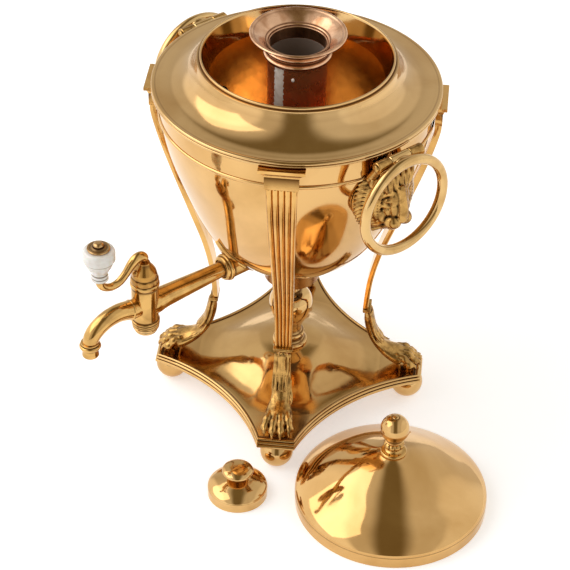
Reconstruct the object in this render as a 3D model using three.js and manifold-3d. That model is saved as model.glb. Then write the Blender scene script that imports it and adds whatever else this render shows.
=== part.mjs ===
// Brass tea urn (samovar) on four reeded legs with lion's paws, with its lid and
// its chimney cap taken off and lying on the table beside it.
// Millimetres, +Z up, table at z = 0. The tap points along -Y, the two ring
// handles hang at +X and -X, and the legs stand on the diagonals.
// The model is laid out about the urn's own axis and moved at the end, so that
// the origin is the middle of the whole set, on the table.
import * as THREE from 'three';
import { mergeVertices } from 'three/addons/utils/BufferGeometryUtils.js';
import Module from 'manifold-3d';

const wasm = await Module();
wasm.setup();

// Clearances
const seatGap = 0.3;          // between pieces that rest on or in each other
const runGap = 0.1;           // radial play of pieces that turn
const reliefGap = 0.6;        // behind the masks, which follow the curved wall
const cutOver = 3;            // how far a cutter runs past the face it opens

// Facets
const bowlSegs = 32;          // bowl, shoulder and lid
const tubeSegs = 18;          // chimney and cap
const barrelSegs = 20;        // plug and its bore
const middleSegs = 14;        // stem, pipe, hub and porcelain knob
const smallSegs = 12;         // knobs, balls and screws

// Plinth and feet
const footRadius = 13.9;      // ball foot
const footFlat = 0.5;         // flat ground on the ball's underside
const footSink = 2.6;         // how much of the ball's top the plinth cuts off
const footCircle = 103;       // feet and paws, from the urn's axis
const cornerOver = 12.4;      // plinth corner beyond the middle of a foot
const cornerHalf = 15.6;      // half the width of a cut-off corner
const sideInset = 76.5;       // middle of a hollowed side, from the axis
const edgeHeight = 8.6;       // height of the moulded edge
const domeRise = 16;          // rise of the plinth's middle above its edge
const domeRadius = 66;        // where that rise begins
const domeWall = 2;
const recessRadius = 64;      // hollow under the dome
const studRadius = 2.4;       // threaded stud on each foot
const studGrip = 5.5;         // length of that stud inside the paw

// Legs
const waistRadius = 62;       // where the legs come closest to the axis
const waistHeight = 94;       // height of the joint between leg and paw
const legWide = 24;           // width of the reeded leg at its top
const legThick = 5.6;
const legClear = 1.6;         // least space between a leg and the bowl
const legScrewDrop = 10;      // screw below the top of the leg
const legScrewRadius = 1.6;
const legScrewHead = 3.6;
const legScrewHeadThick = 1.8;
const legScrewGrip = 3.4;     // length of the screw inside the leg

// Stem and tie bolt
const stemHeight = 71.5;      // turned stem between the plinth and the fire tube
const stemRadius = 18.4;
const boltRadius = 3;
const boltHeadRadius = 6.4;
const boltHeadThick = 4;
const nutThick = 5;
const nutRadius = 6.6;
const boltEnd = 2.2;          // thread left showing below the nut

// Fire tube and chimney
const fireRadius = 23.3;      // outside of the copper tube
const fireWall = 1.2;
const fireFloor = 2;
const fireDrop = 17.7;        // length of the tube below the bowl
const ledgeWall = 2.4;        // thicker wall below the grate
const grateThick = 2.5;
const grateHole = 2.6;
const grateHoleCircle = 12.5;
const grateHoles = 6;
const draughtHole = 2.4;
const draughtHoles = 6;
const chimneyRise = 30.8;     // tube's end above the top of the bowl
const flareRadius = 38.1;     // rim of the chimney's flare
const flareHeight = 21.7;
const flareThroat = 22.3;

// Bowl and shoulder
const bowlRadius = 109.8;     // upper edge of the bowl
const bowlHeight = 168.2;
const bowlWall = 1.4;
const beadDrop = 20.7;        // bead below the top of the bowl
const beadBulge = 1.2;
const beadHalf = 1.7;          // half the bead's height
const flangeOver = 5.3;       // moulded edge of the shoulder beyond the bowl
const flangeThick = 5;
const neckRadius = 76.9;      // outside of the neck's rim
const neckStep = 2.1;         // ledge round the neck, on which the lid sits
const neckHeight = 29.6;      // rim above the top of the bowl
const neckLip = 69;           // inner lip of the neck, lower down
const neckLipDrop = 20;
const shoulderWall = 1.6;

// Tap
const pipeHeight = 21.7;      // axis of the pipe above the bowl's bottom edge
const pipeRadius = 7.8;
const pipeWaist = 6.4;        // pipe's radius where it leaves the hub
const pipeSwell = 8.9;        // and where it starts to widen into the cock
const pipeTail = 9;           // length of the pipe inside the bowl
const tapReach = 151.5;       // axis of the cock, from the urn's axis
const wayRadius = 2.7;        // waterway through pipe, plug and spout
const barrelRadius = 11.3;
const barrelAbove = 24.3;     // cock's top above the pipe's axis
const barrelBelow = 18.7;     // cock's bottom below it
const plugRadius = 7.42;
const plugEnd = 3.5;          // radius of the plug's threaded end
const washerRadius = 10.8;
const washerThick = 2.2;
const plugNutRadius = 9.4;
const plugNutThick = 3.4;
const plugEndOver = 1.6;
const headRadius = 11.4;
const headHeight = 18.6;
const leverRadius = 3.5;
const leverReach = 42.1;      // knob's axis from the cock's axis
const pegRadius = 2.4;        // lever's peg in the plug's head
const pegDepth = 6;
const rodRadius = 2.2;        // lever's rod inside the knob
const spoutRadius = 7.3;
const spoutReach = 53.9;      // nozzle's axis from the cock's axis
const nozzleRadius = 6.8;
const nozzleHeight = 13.5;
const nozzleDrop = 24.2;      // nozzle's mouth below the pipe's axis
const knobRadius = 12.8;
const knobHeight = 29.2;
const knobCapRadius = 9.1;
const knobCapHeight = 5.6;
const shieldThick = 2.4;      // lozenge plate behind the tap
const shieldHalf = 11.5;
const shieldUp = 31;          // its upper point above the pipe's axis
const shieldDown = 17.5;
const hubRadius = 10.4;
const hubReach = 17;          // hub's outer end beyond the wall at the pipe's axis

// Masks and ring handles
const maskHalfWide = 31.5;
const maskUp = 36;            // mask's top above its middle
const maskDown = 33.5;
const maskDrop = 41.5;        // mask's middle below the top of the bowl
const maneThick = 12;
const maskStud = 2.2;
const maskStudDrop = 12;      // stud below the mask's middle
const maskNutRadius = 5;
const maskNutThick = 3;
const hingeOut = 6.3;         // hinge axis beyond the shoulder's edge
const hingeDrop = 2.7;        // hinge axis below the top of the bowl
const knuckleRadius = 4.8;
const sleeveHalf = 9.3;       // half the length of the ring's sleeve
const knuckleWide = 13;
const pinRadius = 2;
const pinHead = 3.2;
const pinHeadThick = 1.6;
const ringRadius = 39.3;      // ring's centre line
const ringTube = 4.15;
const ringRise = 1.5;         // top of the centre line above the hinge axis

// Lid and cap
const lidClear = 0.9;         // lid's skirt round the neck's rim
const lidWall = 1.2;
const lidSkirt = 10.8;        // height of the straight skirt
const lidHeight = 53;         // dome's top above the skirt's lower edge
const lidTopRadius = 10.8;
const finialBall = 12.2;
const finialRise = 25.6;      // ball's middle above the dome's top
const finialStud = 2.3;
const collarHeight = 12.6;
const collarRadius = 10.7;
const collarLobes = 10;
const lobeDepth = 0.7;
const lidNutRadius = 5.4;
const lidNutThick = 3;
const lidX = 165.8;           // where the lid lies, from the urn's axis
const lidY = -27.4;
const capRadius = 24.7;
const capWall = 1.2;
const capHeight = 19.6;
const capKnobRadius = 12.9;
const capKnobHeight = 8.9;
const capKnobStud = 2.3;
const capX = 82;              // where the cap lies, from the urn's axis
const capY = -121.5;

// Heights above the table
const plinthUnder = 2 * footRadius - footFlat - footSink;
const plateTop = plinthUnder + edgeHeight;
const domeTop = plateTop + domeRise;
const tubeBottom = domeTop + stemHeight + 2 * seatGap;
const bowlBottom = tubeBottom + fireDrop;
const bowlTop = bowlBottom + bowlHeight;
const flangeUnder = bowlTop + seatGap;
const flangeRadius = bowlRadius + flangeOver;
const neckRim = bowlTop + neckHeight;
const tubeTop = bowlTop + chimneyRise;
const pipeZ = bowlBottom + pipeHeight;
const maskZ = bowlTop - maskDrop;
const hingeX = flangeRadius + hingeOut;
const hingeZ = bowlTop - hingeDrop;
const ringX = hingeX + knuckleRadius + seatGap + ringTube;
const ringZ = hingeZ + ringRise - ringRadius;
const legTop = flangeUnder - seatGap;
const legScrewZ = legTop - legScrewDrop;
const lidInside = neckRadius + lidClear;
const lidRadius = lidInside + lidWall;

// Outlines, as shares
// plinth edge: share of the outline, share of the edge's height
const plinthEdgeShares = [
  [0.99, 0], [1, 0.13], [1, 0.42], [0.975, 0.48], [0.978, 0.64], [0.99, 0.9], [0.968, 1],
];
// plinth dome: share of the dome's radius, share of its rise
const plinthDomeShares = [[1, 0.03], [0.88, 0.16], [0.74, 0.44], [0.58, 0.72], [0.42, 0.9], [0.27, 1]];
// stem: share of its radius, share of its height
const stemShares = [
  [0.8, 0], [0.8, 0.027], [0.61, 0.076], [0.67, 0.114], [0.67, 0.152], [0.52, 0.19], [0.52, 0.244],
  [0.73, 0.362], [0.94, 0.48], [1, 0.587], [0.9, 0.694], [0.52, 0.75], [0.4, 0.79], [0.4, 0.93],
  [0.58, 1],
];
// bowl: share of its radius, share of its height, above the hole for the tube
const bowlShares = [
  [0.382, 0.048], [0.528, 0.128], [0.638, 0.214], [0.738, 0.342], [0.847, 0.525], [0.938, 0.705],
  [0.989, 0.868], [1, 1],
];
// stations of the outline that its inside keeps
const bowlInsideStations = [0, 1, 2, 4, 6, 7];
// shoulder's cove: share from the neck's ledge to the flange, share from the flange's top up to the ledge
const coveShares = [[0, 0.9], [0.12, 0.52], [0.32, 0.22], [0.58, 0.07], [0.92, 0.02]];
// flange's moulding: share of its thickness in, share of its thickness up
const flangeShares = [[0.08, 0], [0, 0.2], [0.13, 0.4], [0, 0.62], [0.3, 1]];
// flare: share from the throat to the rim, share of its height
const flareOuterShares = [
  [0.24, 0], [0.31, 0.14], [0.2, 0.29], [0.31, 0.43], [0.22, 0.57], [0.4, 0.69], [0.72, 0.84],
  [1, 0.95], [1, 1],
];
const flareInnerShares = [[0.9, 0.985], [0.58, 0.87], [0.26, 0.7], [0, 0.48]];
// leg above the waist: share of the way out, share of the way up, width, thickness, depth of the reeds
const legShares = [
  [0, 0.012, 0.58, 0.8, 1], [0.05, 0.14, 0.63, 0.82, 1], [0.17, 0.27, 0.69, 0.86, 1],
  [0.4, 0.43, 0.77, 0.92, 1], [0.65, 0.6, 0.86, 0.98, 1], [0.87, 0.76, 0.94, 1, 1],
  [1, 0.885, 1, 1, 1], [1, 0.907, 1, 1, 1], [1, 0.912, 1.1, 1.02, 0], [1, 0.965, 1.12, 1.02, 0],
  [1, 0.986, 1.5, 1.62, 0], [1, 1, 1.5, 1.62, 0],
];
// paw below the waist: share of the way out, share of the way up, width, thickness, depth of the lobes
const pawShares = [
  [0.02, 1, 0.66, 1.1, 0], [0.02, 0.955, 0.66, 1.1, 0], [0.02, 0.945, 0.54, 0.86, 0.3],
  [0.08, 0.58, 0.5, 0.95, 0.3], [0.27, 0.29, 0.52, 1.1, 0.3], [0.6, 0.08, 0.74, 1.45, 0.7],
  [0.98, 0, 1.18, 1.9, 1], [1.2, 0, 1.24, 1.6, 1], [1.26, 0, 1.16, 0.9, 1],
];
// section of the reeded leg and of the paw: share of the width, share of the thickness
const reedShares = [
  [-0.5, 0], [0.5, 0], [0.5, 0.66], [0.4, 1], [0.3, 0.7], [0.2, 1], [0.1, 0.7], [0, 1],
  [-0.1, 0.7], [-0.2, 1], [-0.3, 0.7], [-0.4, 1], [-0.5, 0.66],
];
const lobeShares = [
  [-0.5, 0], [0.5, 0], [0.5, 0.5], [0.37, 0.92], [0.25, 0.6], [0.13, 1], [0, 0.66], [-0.13, 1],
  [-0.25, 0.6], [-0.37, 0.92], [-0.5, 0.5],
];
// lozenge behind the tap: share of the height, share of the half width
const shieldShares = [
  [0, 0.06], [0.16, 0.42], [0.36, 1], [0.52, 0.96], [0.7, 0.5], [0.86, 0.26], [1, 0.06],
];
// section of the lozenge: share of its half width, back or front, share of its thickness
const shieldSectionShares = [
  [-1, 0, 0.6], [-0.5, 0, 1], [0.5, 0, 1], [1, 0, 0.6], [1, 1, 0.6], [0.5, 1, 1], [-0.5, 1, 1], [-1, 1, 0.6],
];
// cock's head on the plug: share of its radius, share of its height
const headShares = [[1, 0], [1, 0.24], [0.85, 0.32], [0.81, 0.48], [0.66, 0.66], [0.5, 0.8], [0.47, 1]];
// lever's centre line: share of the reach, share of the head's height above the head
const leverShares = [
  [0, 0.02], [0, 0.18], [0.07, 0.34], [0.18, 0.34], [0.27, 0.2], [0.42, -0.2], [0.56, -0.46],
  [0.72, -0.54], [0.86, -0.44], [0.965, -0.22], [1, 0], [1, 0.1],
];
// spout's centre line: share of the reach, share of the nozzle's drop
const spoutShares = [
  [0, 0], [0.14, 0.03], [0.28, 0.09], [0.49, 0.19], [0.7, 0.14], [0.87, -0.03], [0.965, -0.3],
  [1, -0.6],
];
// knob: share of its radius, share of its height
const knobShares = [
  [0.5, 0], [0.53, 0.07], [0.48, 0.13], [0.53, 0.19], [0.53, 0.26], [0.66, 0.36], [0.83, 0.5],
  [0.95, 0.66], [1, 0.7], [1, 0.9], [0.93, 0.97], [0.74, 1],
];
const knobCapShares = [[1, 0], [1, 0.16], [0.78, 0.4], [0.46, 0.5], [0.42, 0.74], [0.24, 0.96]];
// ring handles' masks: rings out from the middle, and the tufted edge of the mane
const maskRingShares = [0.16, 0.36, 0.56, 0.8, 1];
const maskBackShares = [0.3, 0.56, 0.8, 1];
const maskTuftShare = 0.92;
const maskAngles = 18;
// lion's head as bulging lumps: out, across and up of the middle, then the three half
// sizes, in shares of the mask's half width
const lionShares = [
  [-0.1, 0, 0.2, 0.6, 0.74, 0.92], [0.42, 0, 0.12, 0.24, 0.22, 0.46],
  [0.28, 0, -0.32, 0.48, 0.36, 0.3], [0.08, 0, -0.64, 0.4, 0.26, 0.24],
  [0.12, 0.27, 0.34, 0.4, 0.22, 0.16], [0.12, -0.27, 0.34, 0.4, 0.22, 0.16],
  [-0.04, 0.36, -0.36, 0.46, 0.24, 0.3], [-0.04, -0.36, -0.36, 0.46, 0.24, 0.3],
];
// lid above its skirt: share from its top's radius to its rim, share of the rise
const lidShares = [
  [1, 0], [0.97, 0.1], [0.88, 0.22], [0.73, 0.385], [0.53, 0.59], [0.33, 0.76], [0.15, 0.895],
  [0, 1],
];
// collar under the ball: share of its radius, share of its height, share of the lobes' depth
const collarShares = [
  [1, 0, 0], [1, 0.24, 0], [0.56, 0.36, 0], [0.74, 0.5, 1], [0.78, 0.74, 1], [0.5, 1, 0],
];
// cap and its knob: share of the radius, share of the height
const capShares = [[1, 0], [1, 0.42], [0.94, 0.54], [0.76, 0.69], [0.48, 0.83], [0.2, 0.92], [0.18, 1]];
const capKnobShares = [[0.36, 0], [0.42, 0.16], [0.8, 0.3], [1, 0.5], [0.96, 0.68], [0.62, 0.88]];

// Materials
const metal = (color, roughness) => new THREE.MeshStandardMaterial({ color, roughness, metalness: 1 });
const brass = metal(0xd9ad62, 0.16);
const paleBrass = metal(0xe3bd80, 0.14);
const castBrass = metal(0xb98a45, 0.3);
const copper = metal(0x9c5430, 0.3);
const flareCopper = metal(0xc99a78, 0.22);
const iron = metal(0x4a4642, 0.6);
const porcelain = new THREE.MeshStandardMaterial({ color: 0xece6dc, roughness: 0.2, metalness: 0 });

// Geometry helpers
const vec = (x, y, z) => new THREE.Vector3(x, y, z);

// One closed mesh with shared corners and its faces pointing out.
function solid(geometry) {
  const g = geometry.clone();
  for (const name of Object.keys(g.attributes)) if (name !== 'position') g.deleteAttribute(name);
  const m = mergeVertices(g, 1e-3);
  const p = m.getAttribute('position');
  const index = [];
  for (let i = 0; i < m.index.count; i += 3) {
    const [a, b, c] = [m.index.getX(i), m.index.getX(i + 1), m.index.getX(i + 2)];
    if (a !== b && b !== c && c !== a) index.push(a, b, c);
  }
  const corner = (i) => new THREE.Vector3().fromBufferAttribute(p, i);
  let volume = 0;
  for (let i = 0; i < index.length; i += 3) {
    const [a, b, c] = [corner(index[i]), corner(index[i + 1]), corner(index[i + 2])];
    volume += a.dot(b.cross(c));
  }
  if (volume < 0) index.reverse();
  m.setIndex(index);
  return m;
}

function toManifold(geometry) {
  const g = solid(geometry);
  return new wasm.Manifold(new wasm.Mesh({
    numProp: 3,
    vertProperties: new Float32Array(g.getAttribute('position').array),
    triVerts: new Uint32Array(g.index.array),
  }));
}

function fromManifold(manifold) {
  const mesh = manifold.getMesh();
  const g = new THREE.BufferGeometry();
  g.setAttribute('position', new THREE.BufferAttribute(new Float32Array(mesh.vertProperties), 3));
  g.setIndex([...mesh.triVerts]);
  return g;
}

function join(first, ...rest) {
  return fromManifold(rest.reduce((a, b) => a.add(toManifold(b)), toManifold(first)));
}

function cut(first, ...rest) {
  return fromManifold(rest.reduce((a, b) => a.subtract(toManifold(b)), toManifold(first)));
}

// Turned piece about the Z axis from [radius, height] points.
function turned(points, segs) {
  const g = new THREE.LatheGeometry(points.map(([r, z]) => new THREE.Vector2(r, z)), segs);
  return solid(g.rotateX(Math.PI / 2));
}

// Turned solid that starts and ends on the axis.
function turnedSolid(points, segs) {
  return turned([[0, points[0][1]], ...points, [0, points[points.length - 1][1]]], segs);
}
// Turned ring whose section closes on itself.
const turnedRing = (points, segs) => turned([...points, points[0]], segs);

// Six-sided nut on a round thread.
function hexNut(thread, radius, low, high) {
  const hole = (thread + seatGap) / Math.cos(Math.PI / 6);
  return turnedRing([[hole, low], [radius, low], [radius, high], [hole, high]], 6);
}

function rod(radius, from, to, segs = smallSegs) {
  const way = new THREE.Vector3().subVectors(to, from);
  const g = new THREE.CylinderGeometry(radius, radius, way.length(), segs);
  g.applyQuaternion(new THREE.Quaternion().setFromUnitVectors(vec(0, 1, 0), way.clone().normalize()));
  g.translate(...new THREE.Vector3().addVectors(from, to).multiplyScalar(0.5).toArray());
  return solid(g);
}

const upright = (radius, from, to, segs = smallSegs) => rod(radius, vec(0, 0, from), vec(0, 0, to), segs);
const at = (geometry, x, y, z = 0) => geometry.clone().translate(x, y, z);
// Turned piece laid along -Y: its heights become distances from the urn's axis.
const alongTap = (geometry) => geometry.clone().rotateX(Math.PI / 2);

// Skin over rings of points, with a fan at each end, or joined end to end.
function skin(rings, endless = false) {
  const n = rings[0].length;
  const points = rings.flat();
  const index = [];
  const last = endless ? rings.length : rings.length - 1;
  for (let k = 0; k < last; k++) {
    const next = (k + 1) % rings.length;
    for (let i = 0; i < n; i++) {
      const j = (i + 1) % n;
      index.push(k * n + i, k * n + j, next * n + j, k * n + i, next * n + j, next * n + i);
    }
  }
  if (!endless) {
    for (const [k, turn] of [[0, true], [rings.length - 1, false]]) {
      const middle = rings[k].reduce((s, p) => s.add(p), new THREE.Vector3()).multiplyScalar(1 / n);
      points.push(middle);
      for (let i = 0; i < n; i++) {
        const j = (i + 1) % n;
        index.push(points.length - 1, ...(turn ? [k * n + j, k * n + i] : [k * n + i, k * n + j]));
      }
    }
  }
  const g = new THREE.BufferGeometry();
  g.setAttribute('position', new THREE.Float32BufferAttribute(points.flatMap((p) => p.toArray()), 3));
  g.setIndex(index);
  return solid(g);
}

// The same outline, moved square to itself.
function offset(points, distance) {
  return points.map((point, i) => {
    const a = points[Math.max(i - 1, 0)];
    const b = points[Math.min(i + 1, points.length - 1)];
    const [dx, dz] = [b[0] - a[0], b[1] - a[1]];
    const long = Math.hypot(dx, dz);
    return [point[0] + (dz / long) * distance, point[1] - (dx / long) * distance];
  });
}

// Assembly list
const urn = new THREE.Group();
function piece(name, geometry, material, x = 0, y = 0, turn = 0) {
  const mesh = new THREE.Mesh(solid(geometry), material);
  mesh.name = name;
  mesh.position.set(x, y, 0);
  mesh.rotation.z = turn;
  mesh.geometry.computeVertexNormals();
  urn.add(mesh);
  return mesh;
}

// Plinth
// Square with hollowed sides and cut-off corners. The moulded edge runs round
// this outline, and the top swells into a round dome that carries the stem.
const cornerRadius = footCircle + cornerOver;
const sidePoints = 7;
function plinthOutline() {
  const points = [];
  const end = new THREE.Vector2(cornerRadius, cornerHalf).rotateAround(new THREE.Vector2(), -Math.PI / 4);
  const rise = end.x - sideInset;
  const round = (end.y ** 2 + rise ** 2) / (2 * rise);
  const sweep = Math.asin(-end.y / round);
  for (let side = 0; side < 4; side++) {
    for (let i = 0; i <= sidePoints; i++) {
      const a = sweep * (2 * i / sidePoints - 1);
      const p = new THREE.Vector2(sideInset + round * (1 - Math.cos(a)), round * Math.sin(a));
      points.push(p.rotateAround(new THREE.Vector2(), side * Math.PI / 2));
    }
  }
  return points;
}
const plinthPlan = plinthOutline();
const plinthRing = (share, z) => plinthPlan.map((p) => vec(p.x * share, p.y * share, z));
const roundRing = (radius, z) => plinthPlan.map((p) => vec(p.x, p.y, 0).setLength(radius).setZ(z));
function domeRings(lift, radius, shares) {
  return shares.map(([r, h]) => roundRing(r * radius, plateTop + h * domeRise + lift));
}
const domeInsideShares = plinthDomeShares.filter((_, i) => i < 2 || i % 2);
const boltHole = boltRadius + seatGap;
const plinthBody = skin([
  ...plinthEdgeShares.map(([s, h]) => plinthRing(s, plinthUnder + h * edgeHeight)),
  ...domeRings(0, domeRadius, plinthDomeShares),
  roundRing(boltHole, domeTop),
  roundRing(boltHole, domeTop - domeWall),
  ...domeRings(-domeWall, recessRadius, domeInsideShares).reverse(),
  roundRing(recessRadius, plinthUnder),
], true);
const corners = ['front_right', 'back_right', 'back_left', 'front_left'];
const cornerTurn = (name) => (corners.indexOf(name) - 0.5) * Math.PI / 2;
const studHole = upright(studRadius + seatGap, plinthUnder - cutOver, plateTop + cutOver, 8);
function footAt(corner) {
  return [footCircle * Math.cos(cornerTurn(corner)), footCircle * Math.sin(cornerTurn(corner))];
}
piece('plinth', cut(plinthBody, ...corners.map((c) => at(studHole, ...footAt(c)))), brass);

// Bowl
const bowlHole = fireRadius + seatGap;
const bowlOuter = [
  [bowlHole, bowlBottom],
  ...bowlShares.map(([r, h]) => [r * bowlRadius, bowlBottom + h * bowlHeight]),
];
const bowlInner = [
  [bowlHole, bowlBottom + bowlWall],
  ...bowlInsideStations.map((i) => offset(bowlOuter, -bowlWall)[i + 1]),
];
bowlInner[bowlInner.length - 1][1] = bowlTop;
const bowlBody = turnedRing([...bowlOuter, ...[...bowlInner].reverse()], bowlSegs);
function radiusAt(line, z) {
  for (let i = 1; i < line.length; i++) {
    const [r0, z0] = line[i - 1];
    const [r1, z1] = line[i];
    if (z <= z1) return r0 + (r1 - r0) * (z - z0) / (z1 - z0);
  }
  return line[line.length - 1][0];
}
const bowlRadiusAt = (z) => radiusAt(bowlOuter, z);
// Flat of the bowl's faceted inside at a height.
const insideBowl = (z) => radiusAt(bowlInner, z) * Math.cos(Math.PI / bowlSegs) - seatGap;
// Everything inside the bowl's outside, grown a little, as a cutter.
const bowlCore = turnedSolid([
  ...offset(bowlOuter, seatGap), [bowlRadius + seatGap, bowlTop + cutOver],
], bowlSegs);
const wallAt = bowlRadiusAt(pipeZ);
const pipeHole = rod(
  pipeRadius + seatGap, vec(0, -wallAt * 1.4, pipeZ), vec(0, -wallAt * 0.5, pipeZ), middleSegs,
);
// Hole through the wall along X, near the bowl's upper edge.
function wallHole(radius, z) {
  return rod(radius + seatGap, vec(bowlRadius * 0.8, 0, z), vec(bowlRadius * 1.1, 0, z), 8);
}
const studZ = maskZ - maskStudDrop;
const maskHoles = [0, Math.PI].map((turn) => wallHole(maskStud, studZ).rotateZ(turn));
const screwHoles = corners.map((c) => wallHole(legScrewRadius, legScrewZ).rotateZ(cornerTurn(c)));
piece('bowl', cut(bowlBody, pipeHole, ...maskHoles, ...screwHoles), brass);

// Half-round bead soldered round the bowl below the shoulder.
const beadZ = bowlTop - beadDrop;
const beadOuter = bowlRadiusAt(beadZ) + seatGap + beadBulge;
piece('bowl_bead', turnedRing([
  [bowlRadiusAt(beadZ - beadHalf) + seatGap, beadZ - beadHalf], [beadOuter, beadZ - beadHalf * 0.5],
  [beadOuter, beadZ + beadHalf * 0.5], [bowlRadiusAt(beadZ + beadHalf) + seatGap, beadZ + beadHalf],
], bowlSegs), paleBrass);

// Ball feet
// Each ball is flat below and carries a stud that passes through the plinth
// and screws into the paw above it.
const footMiddle = footRadius - footFlat;
const footSeat = plinthUnder - seatGap;
const footSteps = 6;
const ballFoot = (() => {
  const low = -Math.asin(footMiddle / footRadius);
  const high = Math.asin((footSeat - footMiddle) / footRadius);
  const points = [];
  for (let i = 0; i <= footSteps; i++) {
    const a = low + (high - low) * i / footSteps;
    points.push([footRadius * Math.cos(a), footMiddle + footRadius * Math.sin(a)]);
  }
  const studTop = plateTop + seatGap + studGrip;
  return turnedSolid([...points, [studRadius, footSeat], [studRadius, studTop]], smallSegs);
})();

// Legs and paws
// A strip follows a curve in the leg's own upright plane. Its flat back faces
// the urn's axis and its front is reeded or lobed.
function strip(stations, shares, size) {
  const n = stations.length;
  return skin(stations.map((s, i) => {
    const a = stations[Math.max(i - 1, 0)];
    const b = stations[Math.min(i + 1, n - 1)];
    const way = s.way ?? new THREE.Vector2(b.r - a.r, b.z - a.z).normalize();
    const out = new THREE.Vector2(way.y, -way.x);
    return shares.map(([across, deep]) => {
      const d = (deep === 0 ? 0 : 1 - s.reed * (1 - deep)) * s.thick * size;
      return vec(s.r + out.x * d, across * s.wide, s.z + out.y * d);
    });
  }));
}
const up = new THREE.Vector2(0, 1);
const level = new THREE.Vector2(-1, 0);
const legBack = Math.max(beadOuter, bowlRadius + seatGap) + seatGap;
const legStations = legShares.map(([out, rise, wide, thick, reed], i) => {
  const z = waistHeight + seatGap + (legTop - waistHeight - seatGap) * (i === 0 ? 0 : rise);
  const line = waistRadius + (legBack - waistRadius) * Math.min(out, 1);
  return {
    z, r: out < 1 ? Math.max(line, bowlRadiusAt(z) + legClear) : line,
    wide: wide * legWide, thick, reed, way: i === 0 || out >= 0.99 ? up : undefined,
  };
});
const legScrewEnd = legBack + legScrewGrip;
const legScrewHole = rod(
  legScrewRadius + seatGap,
  vec(bowlRadius - cutOver, 0, legScrewZ), vec(legScrewEnd + seatGap, 0, legScrewZ), 8,
);
const legShaft = cut(strip(legStations, reedShares, legThick), legScrewHole);

const soleZ = plateTop + seatGap;
const pawStations = pawShares.map(([out, rise, wide, thick, reed], i) => ({
  r: waistRadius + (footCircle - waistRadius) * (out - (i < 2 ? 0.02 : 0)),
  z: soleZ + (waistHeight - soleZ) * rise,
  wide: wide * legWide, thick, reed,
  way: i < 2 ? up : rise === 0 ? level.clone() : undefined,
})).reverse();
for (const s of pawStations) if (s.way && s.way.x < 0) s.way = level;
const pawHole = upright(studRadius + seatGap, soleZ - cutOver, soleZ + studGrip + seatGap, 8);
const paw = cut(strip(pawStations, lobeShares, legThick), at(pawHole, footCircle, 0));

// Screw from inside the bowl into the top of each leg.
const legScrew = (() => {
  const inside = insideBowl(legScrewZ - legScrewHead) - seatGap;
  return turnedSolid([
    [legScrewHead, inside - legScrewHeadThick], [legScrewHead, inside],
    [legScrewRadius, inside], [legScrewRadius, legScrewEnd],
  ], 8).rotateY(Math.PI / 2).translate(0, 0, legScrewZ);
})();
for (const corner of corners) {
  const turn = cornerTurn(corner);
  piece(`ball_foot_${corner}`, ballFoot, brass, ...footAt(corner), turn);
  piece(`paw_${corner}`, paw, castBrass, 0, 0, turn);
  piece(`leg_${corner}`, legShaft, brass, 0, 0, turn);
  piece(`leg_screw_${corner}`, legScrew, iron, 0, 0, turn);
}

// Stem and tie bolt
const stemBottom = domeTop + seatGap;
const stemPoints = stemShares.map(([r, h]) => [r * stemRadius, stemBottom + h * stemHeight]);
piece('stem', turnedRing([
  ...stemPoints, [boltHole, stemBottom + stemHeight], [boltHole, stemBottom],
], middleSegs), brass);
const boltSeat = tubeBottom + fireFloor + seatGap;
const nutTop = domeTop - domeWall - seatGap;
piece('tie_bolt', turnedSolid([
  [boltRadius, nutTop - nutThick - boltEnd], [boltRadius, boltSeat],
  [boltHeadRadius, boltSeat], [boltHeadRadius, boltSeat + boltHeadThick],
], 6), iron);
piece('tie_nut', hexNut(boltRadius, nutRadius, nutTop - nutThick, nutTop), iron);

// Fire tube, grate and flare
// One copper tube holds the fire. It runs down through the bowl's bottom, where
// a thicker wall carries the grate, and small holes in its floor let air in.
const grateSeat = bowlBottom + seatGap;
const fireInside = fireRadius - fireWall;
const ledgeInside = fireRadius - ledgeWall;
const fireFloorTop = tubeBottom + fireFloor;
const fireTubeBody = turnedRing([
  [boltHole, tubeBottom], [fireRadius, tubeBottom], [fireRadius, tubeTop], [fireInside, tubeTop],
  [fireInside, bowlBottom], [ledgeInside, bowlBottom], [ledgeInside, fireFloorTop], [boltHole, fireFloorTop],
], tubeSegs);
const ringOf = (geometry, count, radius) => Array.from({ length: count }, (_, i) => {
  const a = (i + 0.5) * 2 * Math.PI / count;
  return at(geometry, radius * Math.cos(a), radius * Math.sin(a));
});
const draughtCircle = (ledgeInside + boltHeadRadius) / 2;
const draughtDrill = upright(draughtHole, tubeBottom - cutOver, fireFloorTop + cutOver, 6);
piece('fire_tube', cut(fireTubeBody, ...ringOf(draughtDrill, draughtHoles, draughtCircle)), copper);
const grateTop = grateSeat + grateThick;
const grateDisc = upright(fireInside - seatGap, grateSeat, grateTop, tubeSegs);
const grateDrill = upright(grateHole, grateSeat - cutOver, grateTop + cutOver, 6);
piece('grate', cut(grateDisc, ...ringOf(grateDrill, grateHoles, grateHoleCircle)), iron);
const flareBottom = tubeTop - seatGap - flareHeight * 0.08;
function flareAt([out, rise]) {
  return [flareThroat + (flareRadius - flareThroat) * out, flareBottom + rise * flareHeight];
}
const flareSleeve = fireRadius + seatGap;
const flareSeat = tubeTop + seatGap;
piece('chimney_flare', turnedRing([
  ...flareOuterShares.map(flareAt).map(([r, z]) => [Math.max(r, flareSleeve * 1.06), z]),
  ...flareInnerShares.map(flareAt),
  [flareThroat, flareSeat], [flareSleeve, flareSeat], [flareSleeve, flareBottom],
], tubeSegs), flareCopper);

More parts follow.
